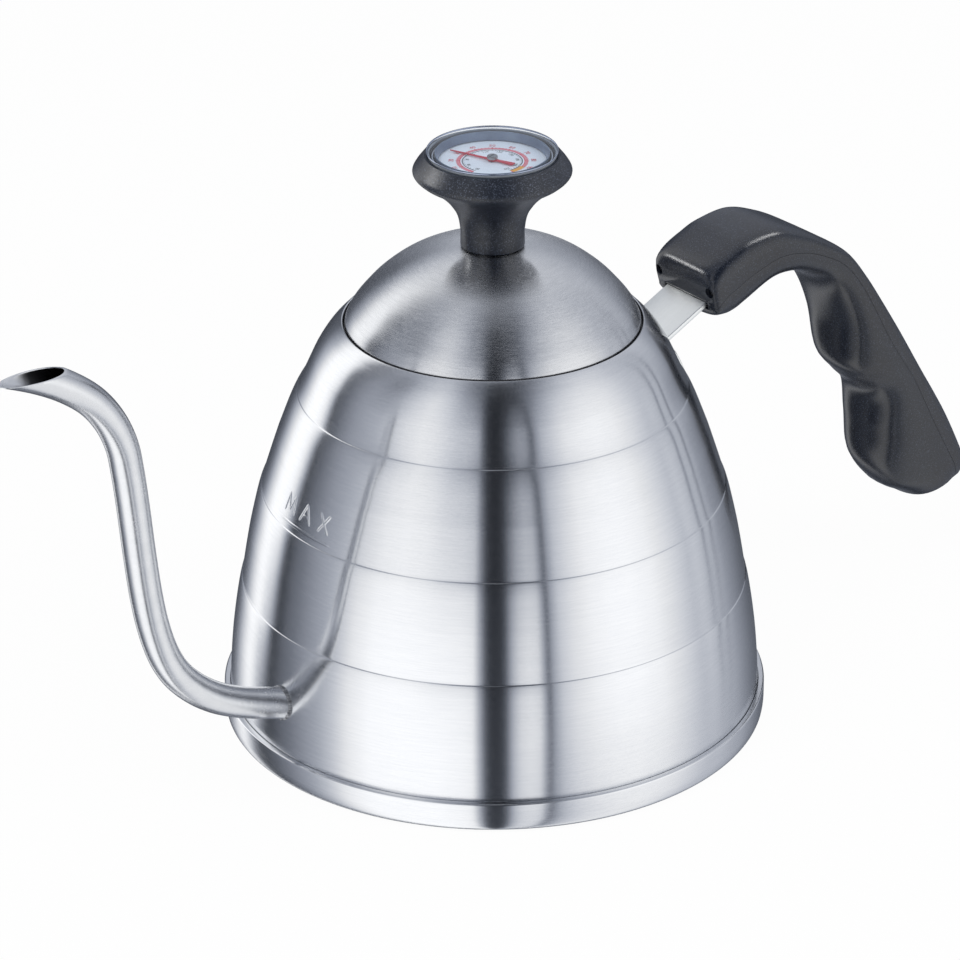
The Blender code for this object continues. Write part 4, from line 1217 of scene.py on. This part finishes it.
def makeCrystal():
    low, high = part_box("dial_crystal")
    r, z0, z1 = high.x / mm, low.z / mm, high.z / mm
    across, down = cover["bevel"]
    corners = [
        (0.0, z0, 0.0), (r - 0.2, z0, 0.2), (r, z0 + 0.2, 0.15), (r, z1 - down, 0.3), (r - across, z1, 0.35),
        (0.0, z1, 0.0),
    ]
    thing = turned("dialCrystal", rounded(corners, 4), 144, "crystal", 40)
    return secondFinish(thing, "crystalEdge", lambda face, reach, z: reach > r - 0.25)


def makeGasket():
    low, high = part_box("crystal_gasket")
    bore, r, z0, z1 = cover["gasketBore"], high.x / mm, low.z / mm, high.z / mm
    corners = [(bore, z0, 0.15), (r, z0, 0.2), (r, z1, 0.2), (bore, z1, 0.15)]
    return turned("crystalGasket", rounded(corners, 3), 96, "silicone")


needle = {
    "tip": 14.0,
    "tail": 7.0,
    "height": 172.3,
    "thick": 0.3,
    "turn": 111.0,
    "boss": 1.3,
    "hub": 1.5,
    "slot": (4.0, 0.4, 0.5),
    "slotTurn": 20,
}


def makeNeedle():
    tail, tip, boss, thick = needle["tail"], needle["tip"], needle["boss"], needle["thick"]
    side = [
        (-tail, 0.85), (0.8 - tail, 0.8), (-2.2, 0.5), (-1.5, 0.55), (-0.9, 1.05), (-0.3, boss),
        (0.3, boss), (0.9, 1.05), (1.5, 0.5), (2.4, 0.42), (tip - 1.5, 0.22), (tip, 0.06),
    ]
    outline = side + [(x, -y) for x, y in side[::-1]]
    place = Matrix.Rotation(math.radians(needle["turn"]), 4, "Z")
    rings = []
    for z, shrink in ((0.0, 0.0), (thick * 0.7, 0.0), (thick, 0.06)):
        ring = []
        for x, y in outline:
            y = math.copysign(max(0.03, abs(y) - shrink), y)
            ring.append(place @ Vector((x * mm, y * mm, (needle["height"] + z) * mm)))
        rings.append(ring)
    return finishMesh(skin(bmesh.new(), rings), "needlePointer", "needle", 30)


def makeHub():
    low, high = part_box("needle_hub")
    z0, z1, r = low.z / mm, high.z / mm, needle["hub"]
    corners = [(0.0, z0, 0.0), (r, z0, 0.1), (r, z1 - 0.2, 0.15), (r * 0.8, z1, 0.15), (0.0, z1, 0.0)]
    piece = turned("needleHub", rounded(corners, 3), 64, "hub", 40)
    slotBox = bmesh.new()
    turn = Matrix.Rotation(math.radians(needle["slotTurn"]), 4, "Z")
    size = Matrix.Diagonal([side * mm for side in needle["slot"]] + [1])
    bmesh.ops.create_cube(slotBox, size=1.0, matrix=Matrix.Translation((0, 0, z1 * mm)) @ turn @ size)
    cutWith(piece, finishMesh(slotBox, "slotCut", "hub"))
    smoothAgain(piece, 40)
    return piece


dress(makeCase(), "lid", "steel", "thermometer_case")
dress(makeDial(), "lid", "dial", "dial_plate")
for make, kind in ((makeBand, "bands"), (makeTicks, "ticks"), (makeNumbers, "numbers")):
    for values in dial[kind]:
        dress(make(*values), "lid", "dial")
dress(makeSpacer(), "lid", "spacer", "dial_spacer_ring")
dress(makeCrystal(), "lid", "crystal", "dial_crystal")
dress(makeGasket(), "lid", "silicone", "crystal_gasket")
dress(makeNeedle(), "needle", "needle", "needle")
dress(makeHub(), "needle", "screw", "needle_hub")
print("thermometer made")


# Inner parts keep their CAD shape and get a fitting finish

innerParts = {
    "base_core": "aluminium", "bottom_pan": "inner",
    "grip_end_screw": "screw", "grip_grub_screw_near": "screw", "grip_grub_screw_far": "screw",
    "lid_seal_washer": "silicone", "lid_washer": "screw", "lid_nut": "screw",
    "thermometer_stem": "inner", "stem_plug": "inner", "dial_seat_ring": "inner", "needle_spindle": "screw",
    "spindle_bush_upper": "brass", "spindle_bush_lower": "brass", "bimetal_coil": "bimetal",
}
for name, finishName in innerParts.items():
    slots = nodes[name].material_slots
    if slots:
        slots[0].material = finishes[finishName]
    else:
        nodes[name].data.materials.append(finishes[finishName])
print("inner parts finished")


# Studio: white room, pale floor, soft lamps, and grey cards that only reflections see

studio = {
    "floor": 6.0,  # metres from its middle to its sides
    "floorLevel": -0.0004,
    "floorTone": (0.9, 0.9, 0.9),
    "floorGlow": 0.96,  # share of plain white in what is seen of the floor
    "reach": 5.0,  # metres to the cards
    "facing": -127.5,  # degrees round the axis towards the viewer
    "levels": (-26, -10, 16, 45, 72),  # degrees above the floor at which the cards below are given
    # degrees from facing, then the card's brightness at each level
    "cards": (
        (-180, 0.30, 0.08, 0.50, 0.75, 0.75), (-172, 0.14, 0.05, 0.40, 0.78, 0.75),
        (-165, 0.08, 0.05, 0.22, 0.82, 0.86), (-157, 0.12, 0.10, 0.10, 0.78, 0.86),
        (-151, 0.22, 0.18, 0.12, 0.76, 0.86), (-146, 0.45, 0.40, 0.22, 0.82, 0.85),
        (-140, 0.80, 0.80, 0.42, 0.95, 0.80), (-134, 1.15, 1.22, 0.92, 1.12, 0.70),
        (-130, 1.15, 1.30, 1.25, 1.22, 0.60),
        (-126, 0.65, 1.30, 1.30, 1.28, 0.55), (-123, 0.22, 1.28, 1.30, 1.30, 0.50),
        (-120, 0.10, 1.20, 1.30, 1.26, 0.48), (-117, 0.080, 0.95, 1.30, 1.15, 0.48),
        (-114.5, 0.070, 0.50, 1.26, 0.85, 0.48), (-112, 0.065, 0.10, 0.95, 0.45, 0.49),
        (-110, 0.070, 0.050, 0.35, 0.20, 0.50), (-108, 0.090, 0.050, 0.10, 0.12, 0.52),
        (-106, 0.12, 0.10, 0.12, 0.15, 0.54), (-102, 0.17, 0.17, 0.15, 0.16, 0.55),
        (-98, 0.20, 0.20, 0.25, 0.20, 0.55),
        (-90, 0.32, 0.32, 0.37, 0.31, 0.55),
        (-80, 0.48, 0.48, 0.46, 0.17, 0.58), (-72, 0.72, 0.72, 0.52, 0.25, 0.58),
        (-64, 1.06, 1.09, 0.66, 0.50, 0.55), (-54, 1.23, 1.28, 0.91, 0.76, 0.48),
        (-44, 1.25, 1.29, 1.02, 0.95, 0.32), (-34, 1.25, 1.29, 0.95, 0.76, 0.20),
        (-24, 1.25, 1.28, 0.76, 0.48, 0.12), (-14, 1.18, 1.25, 0.66, 0.28, 0.09),
        (-9, 1.12, 1.21, 0.52, 0.16, 0.08), (-6.5, 0.55, 0.55, 0.17, 0.085, 0.07),
        (-4, 0.14, 0.12, 0.045, 0.050, 0.055), (-2, 0.060, 0.045, 0.030, 0.030, 0.045),
        (0, 0.050, 0.040, 0.025, 0.025, 0.035), (3, 0.060, 0.050, 0.030, 0.025, 0.025),
        (5, 0.13, 0.13, 0.045, 0.030, 0.020), (8, 0.55, 0.66, 0.11, 0.030, 0.018),
        (11, 0.77, 0.98, 0.25, 0.035, 0.020), (15, 0.86, 1.09, 0.42, 0.045, 0.025),
        (19, 0.81, 1.06, 0.40, 0.060, 0.035), (21.5, 0.35, 0.50, 0.22, 0.075, 0.045),
        (23.3, 0.15, 0.10, 0.090, 0.10, 0.050), (25, 0.35, 0.42, 0.34, 0.19, 0.060),
        (29, 0.55, 0.79, 0.64, 0.24, 0.030), (35, 0.73, 1.01, 0.81, 0.38, 0.030),
        (44, 0.89, 1.17, 1.06, 0.60, 0.040), (54, 0.97, 1.26, 1.14, 0.74, 0.070),
        (64, 1.00, 1.26, 1.16, 0.84, 0.16), (76, 0.95, 1.17, 1.07, 0.86, 0.32),
        (88, 0.79, 0.92, 0.86, 0.80, 0.42), (100, 0.60, 0.64, 0.65, 0.64, 0.46),
        (106, 0.60, 0.72, 0.60, 0.58, 0.50), (112.5, 0.56, 0.60, 0.55, 0.58, 0.54),
        (114, 0.42, 0.18, 0.18, 0.40, 0.56), (115.5, 0.54, 0.56, 0.55, 0.58, 0.58),
        (120, 0.52, 0.54, 0.54, 0.60, 0.60), (121.5, 0.36, 0.15, 0.15, 0.40, 0.62),
        (123, 0.50, 0.50, 0.52, 0.62, 0.64), (129, 0.42, 0.32, 0.54, 0.66, 0.66),
        (134, 0.34, 0.28, 0.54, 0.70, 0.70), (141, 0.26, 0.20, 0.42, 0.72, 0.72),
        (150, 0.18, 0.12, 0.38, 0.74, 0.75), (160, 0.14, 0.08, 0.36, 0.75, 0.76),
        (170, 0.14, 0.06, 0.40, 0.75, 0.76), (180, 0.30, 0.08, 0.50, 0.75, 0.75),
    ),
    "zenith": 0.55,  # the cards' brightness straight overhead
    "tint": (-0.09, 0.22),  # red and blue that a dark card gains on a white one
    "columns": 720,
    "rows": (-89.5, -50, -26, -18, -10, -3, 3, 10, 16, 26, 36, 45, 54, 63, 72, 81, 89.5),
    "sky": (0.97, 0.985, 1.0),
    "skyStrength": 0.55,
    # name, degrees from facing, reach, height, size and power
    "lamps": (("overheadLamp", -40, 0.9, 1.5, (0.8, 0.8), 9.0), ("sideLamp", 70, 1.2, 0.9, (0.5, 0.9), 5.0)),
    # name, degrees from facing, degrees above the point aimed at, reach, size and power
    "highlights": (
        ("frontHighlight", -104, 26, 1.6, (0.4, 0.4), 5.0), ("backHighlight", 124, 56, 1.6, (0.35, 0.6), 5.0),
    ),
    "aim": 0.1,  # height that the lamps point at
}


def cardShade(angle, height):
    # brightness of the cards at an angle from facing and a height, both in degrees
    cards, levels = studio["cards"], studio["levels"]
    row = next(k for k in range(1, len(cards)) if angle <= cards[k][0])
    before, after = cards[row - 1], cards[row]
    share = (angle - before[0]) / (after[0] - before[0])
    values = [a + (b - a) * share for a, b in zip(before[1:], after[1:])]
    if height <= levels[0]:
        return values[0]
    if height >= levels[-1]:
        over = min(1.0, (height - levels[-1]) / (90 - levels[-1]))
        return values[-1] * (1 - over) + studio["zenith"] * over
    step = next(k for k in range(1, len(levels)) if height <= levels[k])
    rise = (height - levels[step - 1]) / (levels[step] - levels[step - 1])
    return values[step - 1] + (values[step] - values[step - 1]) * rise


def makeCards():
    bm = bmesh.new()
    layer = bm.loops.layers.float_color.new("shade")
    columns, rows = studio["columns"], studio["rows"]
    red, blue = studio["tint"]
    lines = []
    for k in range(columns):
        angle = -180 + 360 * k / columns
        turn = math.radians(angle + studio["facing"])
        line = []
        for height in rows:
            tilt = math.radians(height)
            vert = bm.verts.new(polar(math.cos(tilt), turn, math.sin(tilt)) * studio["reach"])
            line.append((vert, cardShade(angle, height)))
        lines.append(line)
    for here, after in zip(lines, lines[1:] + lines[:1]):
        for j in range(len(rows) - 1):
            corners = (here[j], after[j], after[j + 1], here[j + 1])
            face = bm.faces.new([vert for vert, _ in corners])
            for loop, (_, value) in zip(face.loops, corners):
                dark = max(0.0, 1 - value)
                loop[layer] = (value * (1 + red * dark), value, value * (1 + blue * dark), 1.0)
    f = Finish("cardShade")
    tone = f.node("ShaderNodeVertexColor", settings={"layer_name": "shade"})
    f.end(f.node("ShaderNodeEmission", {"Color": tone, "Strength": 1.0}))
    f.material.cycles.emission_sampling = "NONE"
    cards = meshFrom(bm, "reflectionCards", f.material)
    for kind in ("camera", "diffuse", "transmission", "shadow", "volume_scatter"):
        setattr(cards, "visible_" + kind, False)


def seenDirectly(f):
    # 1 where the room is seen straight on, in gloss or through glass, 0 where it only lights a surface
    kinds = ["Is Camera Ray", "Is Glossy Ray", "Is Transmission Ray"]
    camera, glossy, through = f.outputs("ShaderNodeLightPath", kinds)
    return (camera + glossy + through).math("MINIMUM", 1.0)


def makeFloor():
    bm = bmesh.new()
    bmesh.ops.create_grid(bm, x_segments=4, y_segments=4, size=studio["floor"])
    f = Finish("paleFloor")
    matt = f.node("ShaderNodeBsdfDiffuse", {"Color": studio["floorTone"]})
    glow = f.node("ShaderNodeEmission", {"Color": (1.0, 1.0, 1.0), "Strength": 1.0})
    floor = meshFrom(bm, "studioFloor", f.mix(seenDirectly(f) * studio["floorGlow"], matt, glow))
    floor.location.z = studio["floorLevel"]
    floor.visible_glossy = False


def makeWorld():
    f = Finish("studioWorld", world=True)
    soft = f.node("ShaderNodeBackground", {"Color": studio["sky"], "Strength": studio["skyStrength"]})
    white = f.node("ShaderNodeBackground", {"Color": (1.0, 1.0, 1.0), "Strength": 1.0})
    bpy.context.scene.world = f.mix(seenDirectly(f), soft, white)


def makeLamp(name, around, reach, height, size, power):
    lamp = bpy.data.lights.new(name, "AREA")
    lamp.shape = "RECTANGLE"
    lamp.size, lamp.size_y = size
    lamp.energy = power
    thing = addObject(name, lamp)
    thing.location = polar(reach, math.radians(around + studio["facing"]), height)
    aim = Vector((0.0, 0.0, studio["aim"])) - thing.location
    thing.rotation_euler = aim.to_track_quat("-Z", "Y").to_euler()
    thing.visible_camera = False
    thing.visible_glossy = False
    return thing


def makeHighlight(name, around, up, reach, size, power):
    # a lamp that only the plastic pieces see, in their gloss too
    place = polar(reach, math.radians(up), 0.0)
    lamp = makeLamp(name, around, place.x, studio["aim"] + place.y, size, power)
    lamp.visible_glossy = True
    group = bpy.data.collections.new(name)
    for piece in (outerShell, innerShell, knobPiece):
        group.objects.link(piece)
    lamp.light_linking.receiver_collection = group


makeCards()
makeFloor()
makeWorld()
for values in studio["lamps"]:
    makeLamp(*values)
for values in studio["highlights"]:
    makeHighlight(*values)
bpy.context.scene.view_settings.view_transform = "Standard"
print("studio made")
